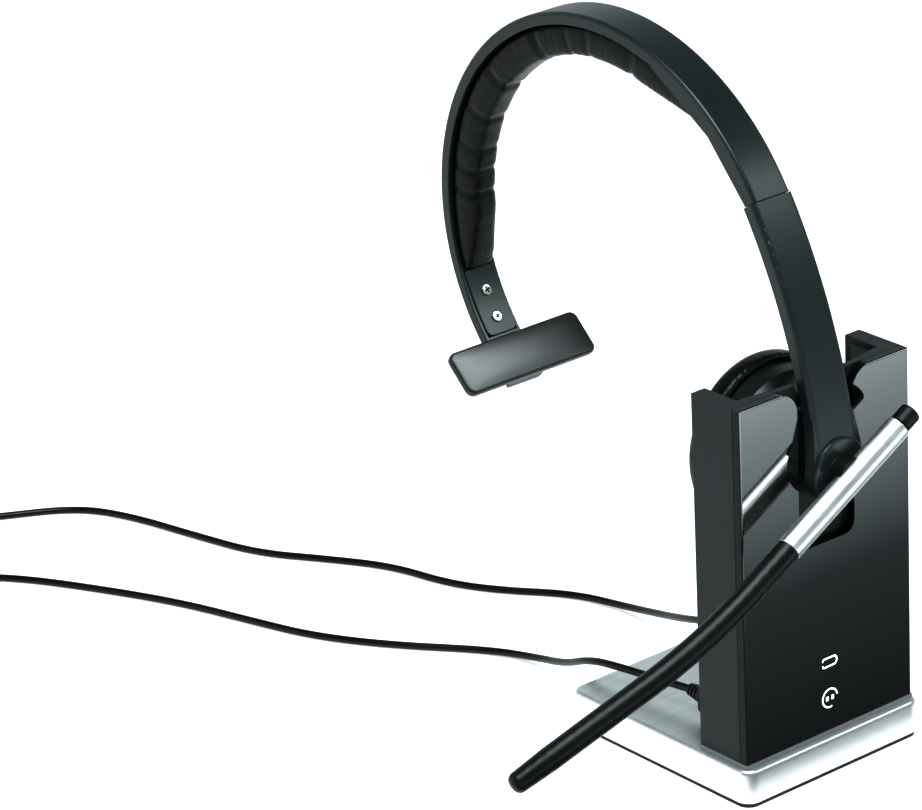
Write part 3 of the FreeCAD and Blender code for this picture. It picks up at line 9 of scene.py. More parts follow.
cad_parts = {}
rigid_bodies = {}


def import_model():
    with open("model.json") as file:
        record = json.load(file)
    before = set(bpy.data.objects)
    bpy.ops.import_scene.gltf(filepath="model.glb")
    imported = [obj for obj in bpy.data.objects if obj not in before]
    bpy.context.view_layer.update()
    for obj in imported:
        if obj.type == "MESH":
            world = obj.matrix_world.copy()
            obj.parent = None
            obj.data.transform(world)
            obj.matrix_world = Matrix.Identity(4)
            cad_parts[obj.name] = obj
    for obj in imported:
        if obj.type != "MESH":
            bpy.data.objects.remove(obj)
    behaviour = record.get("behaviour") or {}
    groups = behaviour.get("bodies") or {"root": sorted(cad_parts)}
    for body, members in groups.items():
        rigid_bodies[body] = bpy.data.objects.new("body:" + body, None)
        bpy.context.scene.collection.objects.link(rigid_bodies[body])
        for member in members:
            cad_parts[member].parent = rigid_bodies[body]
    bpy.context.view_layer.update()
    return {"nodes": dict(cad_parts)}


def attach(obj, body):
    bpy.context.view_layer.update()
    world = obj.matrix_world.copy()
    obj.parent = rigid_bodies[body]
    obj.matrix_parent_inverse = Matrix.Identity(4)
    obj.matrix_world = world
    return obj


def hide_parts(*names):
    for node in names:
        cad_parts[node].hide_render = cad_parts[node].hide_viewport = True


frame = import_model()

# ------------------------------------------------------------ camera
CAMERA_PLACE = (-0.84154, -0.92405, 0.63944)
# Degrees: right of +Y, down, and about the line of sight
CAMERA_YAW = 38.56
CAMERA_PITCH = 22.91
CAMERA_ROLL = -2.89
LENS = 177.73
FILM_WIDTH = 36.0
FAR_CLIP = 20.0


def make_camera():
    """A long lens from the front left, looking down on the stand."""
    data = bpy.data.cameras.new("camera")
    data.lens = LENS
    data.sensor_width = FILM_WIDTH
    data.clip_end = FAR_CLIP
    camera = placed("camera", data)
    yaw, pitch, roll = (math.radians(a) for a in (CAMERA_YAW, CAMERA_PITCH, CAMERA_ROLL))
    level = Matrix.Rotation(-yaw, 4, "Z")
    turn = level @ Matrix.Rotation(math.pi / 2 - pitch, 4, "X") @ Matrix.Rotation(roll, 4, "Z")
    camera.matrix_world = Matrix.Translation(CAMERA_PLACE) @ turn
    bpy.context.scene.camera = camera


# ------------------------------------------------------------ materials
# The front panel's face along Y, where its gloss ends and its duller sides begin
PANEL_FACE = -0.03805
GLOSS_ENDS = PANEL_FACE + 0.0001
SIDES_BEGIN = PANEL_FACE + 0.0003
# The gooseneck's course in the stand's XZ plane, in degrees
NECK_SLOPE = -29.3


def rgb(value):
    return (value[0], value[1], value[2], 1.0)


class Recipe:
    """One procedural material, with short calls for the nodes that most of them use."""

    def __init__(self, name, colour, roughness, metallic=0.0):
        self.material = bpy.data.materials.new(name)
        self.material.use_nodes = True
        self.nodes = self.material.node_tree.nodes
        self.links = self.material.node_tree.links
        self.shader = self.nodes["Principled BSDF"]
        self.shader.inputs["Base Color"].default_value = rgb(colour)
        self.shader.inputs["Roughness"].default_value = roughness
        self.shader.inputs["Metallic"].default_value = metallic
        self.place = self.nodes.new("ShaderNodeTexCoord").outputs["Object"]
        self.height = None

    def set(self, **values):
        for name, value in values.items():
            self.shader.inputs[name.replace("_", " ")].default_value = value

    def drive(self, source, socket):
        """Let a pattern set one of the shader's inputs."""
        self.links.new(source, self.shader.inputs[socket])

    def stretched(self, scale):
        """Object coordinates multiplied along each axis, for grain that runs one way."""
        mapping = self.nodes.new("ShaderNodeMapping")
        mapping.inputs["Scale"].default_value = scale
        self.links.new(self.place, mapping.inputs["Vector"])
        return mapping.outputs["Vector"]

    def noise(self, scale, detail=3.0, stretch=(1, 1, 1)):
        node = self.nodes.new("ShaderNodeTexNoise")
        node.inputs["Scale"].default_value = scale
        node.inputs["Detail"].default_value = detail
        self.links.new(self.stretched(stretch), node.inputs["Vector"])
        return node.outputs["Fac"]

    def cells(self, scale, stretch=(1, 1, 1)):
        node = self.nodes.new("ShaderNodeTexVoronoi")
        node.feature = "SMOOTH_F1"
        node.inputs["Scale"].default_value = scale
        self.links.new(self.stretched(stretch), node.inputs["Vector"])
        return node.outputs["Distance"]

    def ramp(self, source, stops):
        """Colours at given places along a 0 to 1 value."""
        node = self.nodes.new("ShaderNodeValToRGB")
        bar = node.color_ramp
        bar.elements[0].position, bar.elements[0].color = stops[0][0], rgb(stops[0][1])
        bar.elements[1].position, bar.elements[1].color = stops[-1][0], rgb(stops[-1][1])
        for at, colour in stops[1:-1]:
            bar.elements.new(at).color = rgb(colour)
        self.links.new(source, node.inputs["Fac"])
        return node.outputs["Color"]

    def along(self, axis, low, high):
        """0 to 1 as one coordinate goes from low to high, in metres."""
        split = self.nodes.new("ShaderNodeSeparateXYZ")
        self.links.new(self.place, split.inputs["Vector"])
        node = self.nodes.new("ShaderNodeMapRange")
        node.inputs["From Min"].default_value = low
        node.inputs["From Max"].default_value = high
        self.links.new(split.outputs["XYZ".index(axis)], node.inputs["Value"])
        return node.outputs["Result"]

    def colour_from(self, source, stops):
        self.drive(self.ramp(source, stops), "Base Color")

    def tones(self, source, colour, dark, light=1.0, low=0.3, high=0.7):
        """The base colour wanders between two shades of itself."""
        shades = [tuple(c * share for c in colour) for share in (dark, light)]
        self.colour_from(source, [(low, shades[0]), (high, shades[1])])

    def rough_from(self, source, low, high):
        node = self.nodes.new("ShaderNodeMapRange")
        node.inputs["To Min"].default_value = low
        node.inputs["To Max"].default_value = high
        self.links.new(source, node.inputs["Value"])
        self.drive(node.outputs["Result"], "Roughness")

    def relief(self, source, depth, strength=1.0):
        """A bump of the given depth in metres. Several calls add up."""
        node = self.nodes.new("ShaderNodeBump")
        node.inputs["Strength"].default_value = strength
        node.inputs["Distance"].default_value = depth
        self.links.new(source, node.inputs["Height"])
        if self.height is not None:
            self.links.new(self.height, node.inputs["Normal"])
        self.height = node.outputs["Normal"]
        self.drive(self.height, "Normal")


def matte_plastic(name, colour, roughness, grain=0.00003):
    """Moulded plastic with a fine spark-eroded grain."""
    recipe = Recipe(name, colour, roughness)
    recipe.relief(recipe.noise(2600, 2), grain)
    recipe.tones(recipe.noise(14, 4), colour, 0.9, 1.1)
    recipe.rough_from(recipe.noise(60, 3), roughness * 0.92, roughness * 1.08)
    recipe.set(Specular_IOR_Level=0.28)
    return recipe.material


def satin_plastic(name, colour, roughness):
    """Smooth satin moulding, a little uneven in its gloss."""
    recipe = Recipe(name, colour, roughness)
    recipe.relief(recipe.noise(3200, 2), 0.000012)
    recipe.tones(recipe.noise(22, 3), colour, 0.88, 1.12)
    recipe.rough_from(recipe.noise(45, 4), roughness * 0.88, roughness * 1.14)
    recipe.set(Specular_IOR_Level=0.42)
    return recipe.material


def brushed_metal(name, colour, roughness, stretch, depth=0.000004):
    """Metal with fine lines along one axis."""
    recipe = Recipe(name, colour, roughness, 1.0)
    lines = recipe.noise(900, 4, stretch)
    recipe.rough_from(lines, roughness * 0.8, roughness * 1.25)
    recipe.relief(lines, depth)
    recipe.tones(recipe.noise(500, 3, stretch), colour, 0.93, low=0.35, high=0.65)
    return recipe.material


def plain_metal(name, colour, roughness):
    """Turned or rolled metal, a little cloudy."""
    recipe = Recipe(name, colour, roughness, 1.0)
    recipe.rough_from(recipe.noise(300, 3), roughness * 0.8, roughness * 1.2)
    recipe.tones(recipe.noise(160, 3), colour, 0.85)
    return recipe.material


def rubber(name, colour, roughness):
    """Moulded rubber with a fine grain."""
    recipe = Recipe(name, colour, roughness)
    recipe.relief(recipe.noise(1500, 3), 0.00002)
    recipe.tones(recipe.noise(30, 3), colour, 0.85, 1.15)
    recipe.rough_from(recipe.noise(80, 3), roughness * 0.92, roughness * 1.1)
    return recipe.material


def neck_rubber():
    """Black sleeve rubber over a wound neck, whose turns show faintly through it."""
    recipe = Recipe("neck_rubber", (0.012, 0.012, 0.013), 0.34)
    turned = recipe.nodes.new("ShaderNodeMapping")
    turned.inputs["Rotation"].default_value = (0, math.radians(NECK_SLOPE), 0)
    recipe.links.new(recipe.place, turned.inputs["Vector"])
    wave = recipe.nodes.new("ShaderNodeTexWave")
    wave.bands_direction = "X"
    wave.inputs["Scale"].default_value = 150
    wave.inputs["Distortion"].default_value = 0.3
    recipe.links.new(turned.outputs["Vector"], wave.inputs["Vector"])
    recipe.relief(wave.outputs["Fac"], 0.00006, 0.5)
    recipe.relief(recipe.noise(2200, 2), 0.00001)
    recipe.colour_from(recipe.noise(60, 3), [(0.3, (0.004, 0.005, 0.005)), (0.7, (0.007, 0.008, 0.008))])
    recipe.rough_from(recipe.noise(90, 3), 0.32, 0.42)
    recipe.set(Specular_IOR_Level=0.3)
    return recipe.material


def leatherette():
    """Soft black leatherette: fine grain, and small gathers across each padded piece's length, with painted
    shade darkening the creases.
    """
    recipe = Recipe("leatherette", (0.005, 0.006, 0.006), 0.4)
    chart = recipe.nodes.new("ShaderNodeUVMap")
    chart.uv_map = "UVMap"
    objects = recipe.place
    recipe.place = chart.outputs["UV"]
    gathers = recipe.noise(900, 3, (1, 0.7, 1))
    creases = recipe.cells(420, (1, 0.45, 1))
    recipe.place = objects
    recipe.relief(gathers, 0.00028, 0.5)
    recipe.relief(creases, 0.00028, 0.4)
    recipe.relief(recipe.cells(1900), 0.00006, 0.5)
    recipe.rough_from(gathers, 0.28, 0.38)
    # Painted shade: the base colour is darker in the hollows of the creases, following the crease bump.
    recipe.colour_from(creases, [(0.1, (0.0015, 0.0019, 0.0019)), (0.6, (0.004, 0.005, 0.005))])
    recipe.set(Specular_IOR_Level=0.2)
    return recipe.material


def gloss_panel():
    """Piano black: a deep base under a clear polished layer, with duller sides behind the face."""
    recipe = Recipe("gloss_panel", (0.004, 0.0042, 0.0045), 0.045)
    shades = [(0.3, (0.0036, 0.0038, 0.004)), (0.7, (0.0046, 0.0048, 0.005))]
    recipe.colour_from(recipe.noise(20, 2), shades)
    recipe.rough_from(recipe.noise(90, 3), 0.035, 0.055)
    recipe.set(IOR=1.8, Coat_IOR=2.0, Coat_Roughness=0.03)
    behind_face = recipe.along("Y", GLOSS_ENDS, SIDES_BEGIN)
    for socket, face, sides in (("Coat Weight", 1, 0.05), ("Specular IOR Level", 0.5, 0.06)):
        recipe.drive(recipe.ramp(behind_face, [(0, (face,) * 3), (1, (sides,) * 3)]), socket)
    return recipe.material


def clear_plastic():
    recipe = Recipe("clear", (0.9, 0.92, 0.93), 0.12)
    recipe.rough_from(recipe.noise(200, 3), 0.08, 0.16)
    recipe.set(Transmission_Weight=0.85, IOR=1.49)
    return recipe.material


def circuit_green():
    recipe = Recipe("circuit_board", (0.02, 0.16, 0.06), 0.35)
    recipe.colour_from(recipe.cells(260), [(0.2, (0.015, 0.12, 0.045)), (0.5, (0.03, 0.2, 0.08))])
    recipe.rough_from(recipe.noise(400, 3), 0.28, 0.42)
    return recipe.material


def felt():
    recipe = Recipe("black_felt", (0.01, 0.01, 0.01), 0.95)
    recipe.set(Sheen_Weight=0.3)
    recipe.relief(recipe.noise(2000, 4), 0.0002)
    recipe.colour_from(recipe.noise(900, 4), [(0.3, (0.006, 0.006, 0.007)), (0.7, (0.016, 0.016, 0.017))])
    return recipe.material


def lit_icon():
    """Light guides seen through the panel: white, and a little uneven."""
    recipe = Recipe("lit_icon", (0.85, 0.88, 0.86), 0.3)
    glow = recipe.ramp(recipe.noise(900, 2), [(0.3, (0.86, 0.9, 0.88)), (0.7, (1, 1, 1))])
    recipe.drive(glow, "Emission Color")
    recipe.set(Emission_Strength=1.3)
    return recipe.material


def make_materials():
    """One finished material for each of the record's slots."""
    return {
        "foot_rubber": rubber("foot_rubber", (0.012, 0.012, 0.012), 0.7),
        "base_aluminium": brushed_metal("base_aluminium", (0.9, 0.91, 0.92), 0.4, (0.02, 1, 1)),
        "steel": plain_metal("steel", (0.55, 0.55, 0.57), 0.35),
        "trim_grey": matte_plastic("trim_grey", (0.2, 0.21, 0.22), 0.4),
        "housing_plastic": matte_plastic("housing_plastic", (0.011, 0.016, 0.017), 0.46),
        "gloss_panel": gloss_panel(),
        "black_felt": felt(),
        "black_plastic": matte_plastic("black_plastic", (0.005, 0.006, 0.006), 0.42),
        "gold": plain_metal("gold", (0.85, 0.62, 0.25), 0.25),
        "circuit_board": circuit_green(),
        "clear": clear_plastic(),
        "cord_plastic": matte_plastic("cord_plastic", (0.005, 0.005, 0.006), 0.28, 0.00001),
        "cup_plastic": satin_plastic("cup_plastic", (0.008, 0.011, 0.012), 0.34),
        "battery_wrap": matte_plastic("battery_wrap", (0.45, 0.46, 0.48), 0.4),
        "leatherette": leatherette(),
        "band_plastic": satin_plastic("band_plastic", (0.014, 0.021, 0.022), 0.33),
        "spring_steel": plain_metal("spring_steel", (0.5, 0.5, 0.52), 0.3),
        "screw_steel": plain_metal("screw_steel", (0.82, 0.8, 0.76), 0.2),
        "bar_rubber": rubber("bar_rubber", (0.006, 0.008, 0.009), 0.35),
        "boom_silver": brushed_metal("boom_silver", (0.9, 0.91, 0.92), 0.38, (0.05, 1, 1), 0.000002),
        "neck_rubber": neck_rubber(),
    }


ICON_LIGHT = lit_icon()
MATERIALS = make_materials()


def dress(piece, slot):
    piece.data.materials.clear()
    piece.data.materials.append(MATERIALS[slot])


def slot_of(node):
    """The record's slot that a CAD node was given."""
    return node.data.materials[0].name.split(".")[0]


for node in frame["nodes"].values():
    dress(node, slot_of(node))

# ------------------------------------------------------------ small helpers
def deselect():
    for other in bpy.context.view_layer.objects:
        other.select_set(False)


def only(piece):
    """Select this piece alone."""
    deselect()
    piece.select_set(True)
    bpy.context.view_layer.objects.active = piece


def applied(piece, kind, **facts):
    """Give the piece a modifier with these settings, and apply it."""
    only(piece)
    change = piece.modifiers.new(kind.lower(), kind)
    for name, value in facts.items():
        setattr(change, name, value)
    bpy.ops.object.modifier_apply(modifier=change.name)


def placed(name, data):
    """A new object for this data, in the scene."""
    piece = bpy.data.objects.new(name, data)
    bpy.context.scene.collection.objects.link(piece)
    return piece


def belongs(piece, slot, body, *stands_for):
    """Put the piece in its body, and hide the CAD nodes it stands for. The slot is not used."""
    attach(piece, body)
    if stands_for:
        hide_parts(*stands_for)


def ring_way(turn):
    """A unit vector in the XY plane, at this angle in radians."""
    return Vector((math.cos(turn), math.sin(turn), 0))


def bowed(value, power):
    """A sine or cosine raised to a power with its sign kept, for squarish round sections."""
    return math.copysign(abs(value) ** power, value)


def curve_tube(name, points, radius, slot):
    """A round tube along a smooth curve that the points steer."""
    data = bpy.data.curves.new(name, "CURVE")
    data.dimensions = "3D"
    data.resolution_u = 8
    data.bevel_depth = radius
    data.bevel_resolution = 4
    data.use_fill_caps = True
    line = data.splines.new("NURBS")
    line.points.add(len(points) - 1)
    for point, place in zip(line.points, points):
        point.co = (place[0], place[1], place[2], 1.0)
    line.order_u = 3
    line.use_endpoint_u = True
    piece = placed(name, data)
    dress(piece, slot)
    return piece


# ------------------------------------------------------------ the cords
CORD_R = 0.0012
COIL_MEAN_R = 0.0132
LAYER_RISE = 2.0 * CORD_R * 0.92
TURN_POINTS = 14
# Places in millimetres, the same as in the part's source
POWER_ROUTE = (
    (19, 3.15, 19.1), (18.4, 17, 19.6), (17.2, 34, 19.0), (19.6, 48, 14.2), (25.6, 67, 7.4),
    (29.2, 87, 2.0), (24.6, 108, 1.2), (9.5, 127, 1.2), (0.5, 144, 1.2), (-4, 167, 1.2),
    (-15.5, 187, 1.2), (-29.5, 208, 1.2), (-36, 235, 1.2), (-42, 263, 1.2), (-51, 282.5, 1.2),
    (-74, 296, 1.2), (-98, 306.5, 2.4))
DATA_ROUTE = (
    (-19, 3.15, 19.1), (-20.4, 17, 18.2), (-22.8, 33, 17.8), (-24.2, 44, 16.6), (-20.6, 60, 8.4),
    (-16, 80, 2.0), (-22, 96, 1.2), (-42, 121, 1.2), (-55.5, 144, 1.2), (-62.5, 166, 1.2),
    (-70.5, 193, 1.2), (-81, 217, 1.2), (-97, 248, 1.2), (-111, 264, 1.2), (-130, 272, 2.4))


def coil_points(route, layers, way_out):
    """Turns wound in flat layers, a cord's width apart, from the route's end to the far plug's direction."""
    last, before = Vector(route[-1]), Vector(route[-2])
    way = Vector((last.x - before.x, last.y - before.y, 0)).normalized()
    across = Vector((-way.y, way.x, 0))
    middle = Vector((last.x, last.y, 0)) + across * COIL_MEAN_R
    first = math.degrees(math.atan2(-across.y, -across.x))
    # The curve cuts inside its steering points, so they stand a little farther out.
    stretch = 1 / (0.75 + 0.25 * math.cos(2 * math.pi / TURN_POINTS))

    def point(k, radius, height):
        out = ring_way(math.radians(first + 360 * k / TURN_POINTS))
        return middle + out * radius * stretch + Vector((0, 0, height))

    points = []
    for level, radii in enumerate(layers):
        height = CORD_R + level * LAYER_RISE
        for radius in radii if level % 2 == 0 else radii[::-1]:
            points += [point(k, radius, height) for k in range(0 if points else 2, TURN_POINTS)]
    last_arc = (way_out - first) % 360
    return points + [point(k, layers[-1][-1], height) for k in range(int(last_arc / (360 / TURN_POINTS)))]


def make_cord(name, route, layers, plug_turn):
    """A lead from its plug to its far plug: its route, and the rest wound into a coil."""
    places = [Vector(p) / 1000 for p in route]
    turns = coil_points(places, layers, plug_turn + 90)
    piece = curve_tube(name + "_lead", places + turns, CORD_R, "cord_plastic")
    belongs(piece, "cord_plastic", "stand", name + "_cord", name + "_coil")


def row(*millimetres):
    """The radii of one layer's turns, in metres."""
    return [m / 1000 for m in millimetres]


make_cord("power", POWER_ROUTE, [row(15.9, 13.4, 10.9)] * 4 + [row(14.6, 12.1)], 40)
make_cord("data", DATA_ROUTE, [row(16.8, 14.4, 12.0, 9.6)] * 4 + [row(14.4)], 60)

# ------------------------------------------------------------ the line of the headband
# Each arc is its centre's y and z, and its radius. A heading is in degrees above +Y.
FRONT_ARC = (0.053899, 0.135399, 0.0834)
REAR_ARC = (0.053412, 0.144386, 0.0744)
CROWN_HEADING = 3.1
JOINT_HEADING = 58.8
BAND_DEPTH = 0.0039
PLATE_DEPTH = 0.0045
PLATE_SCREW_HEADINGS = (-116.6, -124.0)


def arc_at(heading):
    return FRONT_ARC if heading >= CROWN_HEADING else REAR_ARC


def line_way(heading):
    """From the arc's centre outwards."""
    turn = math.radians(heading)
    return Vector((0, -math.sin(turn), math.cos(turn)))


def line_place(heading, inset, x=0.0):
    """A point so far inside the band's outer face."""
    y, z, radius = arc_at(heading)
    return Vector((x, y, z)) + line_way(heading) * (radius - inset)


# ------------------------------------------------------------ padded pieces
def loft(name, rings, closed, across):
    """A skin over rings of points, with a map that runs along the piece and round it, in metres."""
    mesh = bpy.data.meshes.new(name)
    form = bmesh.new()
    rows = [[form.verts.new(p) for p in ring] for ring in rings]
    layer = form.loops.layers.uv.new("UVMap")
    count = len(rings[0])
    spans = len(rings) if closed else len(rings) - 1
    for i in range(spans):
        first, second = rows[i], rows[(i + 1) % len(rows)]
        for j in range(count):
            k = (j + 1) % count
            face = form.faces.new((first[j], first[k], second[k], second[j]))
            places = ((i, j), (i, j + 1), (i + 1, j + 1), (i + 1, j))
            for loop, (a, b) in zip(face.loops, places):
                loop[layer].uv = (a * across[0], b * across[1])
    if not closed:
        form.faces.new(rows[0])
        form.faces.new(rows[-1][::-1])
    bmesh.ops.recalc_face_normals(form, faces=form.faces)
    form.to_mesh(mesh)
    form.free()
    return placed(name, mesh)


# The covers' cloth
CLOTH_STEPS = 20
MOST_SWELL = 0.0003


def swell(piece, held, pressure):
    """Blow the skin up a little as cloth, held where it is sewn or glued down."""
    start = [v.co.copy() for v in piece.data.vertices]
    group = piece.vertex_groups.new(name="held")
    for i, weight in enumerate(held):
        if weight > 0:
            group.add([i], weight, "REPLACE")
    cloth = piece.modifiers.new("cloth", "CLOTH")
    facts = cloth.settings
    facts.vertex_group_mass = "held"
    facts.use_pressure = True
    facts.uniform_pressure_force = pressure
    facts.shrink_min = 0.0
    facts.quality = 6
    facts.mass = 0.2
    facts.tension_stiffness = 25
    facts.compression_stiffness = 25
    facts.bending_stiffness = 0.2
    facts.effector_weights.gravity = 0
    cloth.collision_settings.use_collision = False
    for frame_number in range(1, CLOTH_STEPS + 1):
        bpy.context.scene.frame_set(frame_number)
    only(piece)
    bpy.ops.object.modifier_apply(modifier="cloth")
    bpy.context.scene.frame_set(1)
    piece.vertex_groups.clear()
    for vertex, before in zip(piece.data.vertices, start):
        step = vertex.co - before
        if step.length > MOST_SWELL:
            vertex.co = before + step * (MOST_SWELL / step.length)


def finish_padded(piece, body, node):
    """Subdivide the final form once, shade it round, and say what it is."""
    applied(piece, "SUBSURF", levels=1, render_levels=1)
    bpy.ops.object.shade_smooth()
    dress(piece, "leatherette")
    belongs(piece, "leatherette", body, node)


def ripple(*terms):
    """A fixed uneven wave from a few sines, told by (waves, phase, share)."""
    return lambda t: sum(share * math.sin(waves * t + phase) for waves, phase, share in terms)


# Headband pad
PAD_HALF = 0.0057
PAD_DEPTH = 0.0106
PAD_ENDS = ((41.5, 17.0, 0.0010), (-110.3, -93.0, 0.0026))
# Where the cover is pinched: heading, how deep, how wide in degrees
PAD_PINCHES = (
    (13, 0.0008, 1.2), (-3, 0.0006, 1.0), (-11, 0.0007, 1.0), (-24, 0.0012, 1.3), (-47, 0.0010, 1.4),
    (-62, 0.0007, 1.2), (-73.5, 0.0006, 0.9), (-81, 0.0008, 1.0), (-88, 0.0008, 0.9))
DEEPEST_PINCH = 0.0012
PINCH_SLANT = math.radians(2.2)
# How far along a pinch runs across the pad for each radian of its slant
SLANT_REACH = 0.01
PAD_STATIONS = 190
PAD_ROUND = 36
# Stations over which the front end narrows and the rear end tucks in
FRONT_TAPER = 12
REAR_TUCK = 5
GLUED_END = 6


def pad_depth(heading):
    """Full in the middle, and along a straight line towards either end."""
    for end, full, thin in PAD_ENDS:
        if min(end, full) - 0.01 <= heading <= max(end, full) + 0.01:
            y, z, radius = arc_at(heading)
            low, high = line_place(end, BAND_DEPTH + thin), line_place(full, BAND_DEPTH + PAD_DEPTH)
            way, run = line_way(heading), high - low
            start = low - Vector((0, y, z))
            share = -(way.y * start.z - way.z * start.y) / (way.y * run.z - way.z * run.y)
            return radius - BAND_DEPTH - way.dot(start + run * share)
    return PAD_DEPTH


def pad_pinch(heading):
    return sum(deep * math.exp(-((heading - at) / wide) ** 2) for at, deep, wide in PAD_PINCHES)


def make_headband_pad():
    """A long soft pad with a pinched cover, glued along the band."""
    first, last = PAD_ENDS[0][0], PAD_ENDS[1][0]
    bulge = ripple((0.31, 0.4, 0.5), (0.53, 1.9, 0.3), (0.97, 0.2, 0.2))
    rings, held = [], []
    for i in range(PAD_STATIONS + 1):
        heading = first + (last - first) * i / PAD_STATIONS
        depth = pad_depth(heading)
        pinch = pad_pinch(heading) * min(1, depth / PAD_DEPTH)
        depth = max(depth - 0.0001 - 0.8 * pinch + 0.00006 * bulge(heading), 0.0006)
        half = PAD_HALF - 0.5 * pinch
        if i < FRONT_TAPER:
            half *= math.sin(math.pi / 2 * (i + 2) / (FRONT_TAPER + 2)) ** 0.7
        tuck = max(0, i - PAD_STATIONS + REAR_TUCK)
        depth -= 0.0002 * tuck
        half -= 0.00012 * tuck
        outwards = line_way(heading)
        along = Vector((0, outwards.z, -outwards.y))
        ring = []
        for j in range(PAD_ROUND):
            turn = 2 * math.pi * j / PAD_ROUND
            c, s = math.cos(turn), math.sin(turn)
            x = half * bowed(c, 2 / 3.4)
            into = depth * (0.36 + (0.64 * bowed(s, 2 / 3.0) if s > 0 else 0.36 * bowed(s, 2 / 4.5)))
            slant = PINCH_SLANT * pinch / DEEPEST_PINCH * x / PAD_HALF
            ring.append(line_place(heading, BAND_DEPTH + into, x) + along * slant * SLANT_REACH)
            glued = s < -0.5 or i < 3 or i > PAD_STATIONS - GLUED_END
            held.append(1.0 if glued else min(0.9, pinch * 2 / DEEPEST_PINCH))
        rings.append(ring)
    piece = loft("headband_cushion", rings, False, (0.00105, 0.001))
    swell(piece, held, 2.5)
    finish_padded(piece, "headband", "headband_pad")


# Ear cushion
HUB_Z = 0.1
CUSHION_FRONT = -0.01555
CUSHION_BACK = -0.00595
CUSHION_OUTER = 0.028
CUSHION_INNER = 0.0145
CUSHION_STATIONS = 300
CUSHION_ROUND = 36
# Where round the section the cover is gathered, in radians, and how widely
GATHERED_EDGES = (5.9, 2.3)
GATHER_WIDTH = 0.5
BEAD_MEAN_R = 0.0266
BEAD_R = 0.00055
BEAD_INSET = 0.0006


def make_ear_cushion():
    """A soft ring with gathered edges and a bead along its front seam."""
    thick = CUSHION_BACK - CUSHION_FRONT
    middle, half = (CUSHION_OUTER + CUSHION_INNER) / 2, (CUSHION_OUTER - CUSHION_INNER) / 2 - 0.0003
    gathers = ripple((61, 0.3, 0.4), (83, 1.1, 0.35), (109, 2.3, 0.3), (37, 0.9, 0.3))
    rings, held = [], []
    for i in range(CUSHION_STATIONS):
        turn = 2 * math.pi * i / CUSHION_STATIONS
        out = Vector((math.cos(turn), 0, math.sin(turn)))
        ring = []
        for j in range(CUSHION_ROUND):
            a = 2 * math.pi * j / CUSHION_ROUND
            c, s = math.cos(a), math.sin(a)
            r = middle + half * bowed(c, 2 / 3.0)
            share = 0.4 + (0.57 * bowed(s, 2 / 2.6) if s > 0 else 0.4 * bowed(s, 2 / 4.0))
            y = CUSHION_FRONT + thick * share
            edge = sum(math.exp(-((a - at) / GATHER_WIDTH) ** 2) for at in GATHERED_EDGES)
            r += 0.00016 * gathers(turn) * edge
            y += 0.00008 * gathers(turn + 0.02) * edge
            ring.append(Vector((0, y, HUB_Z)) + out * r)
            held.append(1.0 if s < -0.6 else 0.0)
        rings.append(ring)
    piece = loft("ear_pad", rings, True, (2 * math.pi * middle / CUSHION_STATIONS, 0.0011))
    swell(piece, held, 2.0)
    finish_padded(piece, "ear_cup", "ear_cushion")


def make_seam_bead():
    """The piping where the cushion's cover is sewn, at its front edge."""
    bpy.ops.mesh.primitive_torus_add(
        major_segments=192, minor_segments=12, major_radius=BEAD_MEAN_R, minor_radius=BEAD_R,
        location=(0, CUSHION_FRONT + BEAD_INSET, HUB_Z), rotation=(math.pi / 2, 0, 0))
    piece = bpy.context.object
    piece.name = "ear_pad_piping"
    stitches = ripple((96, 0.0, 1.0))
    for vertex in piece.data.vertices:
        turn = math.atan2(vertex.co.y, vertex.co.x)
        vertex.co *= 1 + 0.0012 * stitches(turn)
    finish_piece(piece, "leatherette", "ear_cup")


# ------------------------------------------------------------ moulded pieces
def finish_piece(piece, slot, body, stands_for=(), material=None, keep_looks=False):
    """Place in the mesh, finish, and body of one piece."""
    only(piece)
    bpy.ops.object.transform_apply(location=True, rotation=True, scale=True)
    bpy.ops.object.shade_smooth_by_angle(angle=math.radians(35))
    if not keep_looks:
        dress(piece, slot)
    if material:
        piece.data.materials[0] = material
    belongs(piece, slot, body, *stands_for)


def block(size, middle=(0, 0, 0), turn=0.0):
    """A box of this size, turned about Z, with its place in its mesh."""
    deselect()
    bpy.ops.mesh.primitive_cube_add(size=1, location=middle, rotation=(0, 0, turn))
    piece = bpy.context.object
    piece.scale = size
    bpy.ops.object.transform_apply(location=True, rotation=True, scale=True)
    return piece


def moved(piece, matrix):
    """Carry a finished mesh to its place, and leave the object at the origin."""
    piece.data.transform(matrix)
    piece.matrix_world = Matrix.Identity(4)


def cut_away(piece, tool):
    """Take the tool's shape out of the piece."""
    applied(piece, "BOOLEAN", operation="DIFFERENCE", solver="EXACT", object=tool)
    bpy.data.objects.remove(tool)


def joined(name, pieces):
    """One piece out of several."""
    only(pieces[0])
    for piece in pieces:
        piece.select_set(True)
    bpy.ops.object.join()
    pieces[0].name = name
    return pieces[0]


# Screws: the cross recess's two bars in degrees, and how much narrower its floor is
CROSS_TURNS = (20, 110)
CROSS_NARROWING = 0.85
# The rear cover's screws: how far to either side, the cover's outer face, and their height
COVER_SCREW_X = 0.02
COVER_FACE = -0.01745
COVER_SCREW_Z = 0.05395


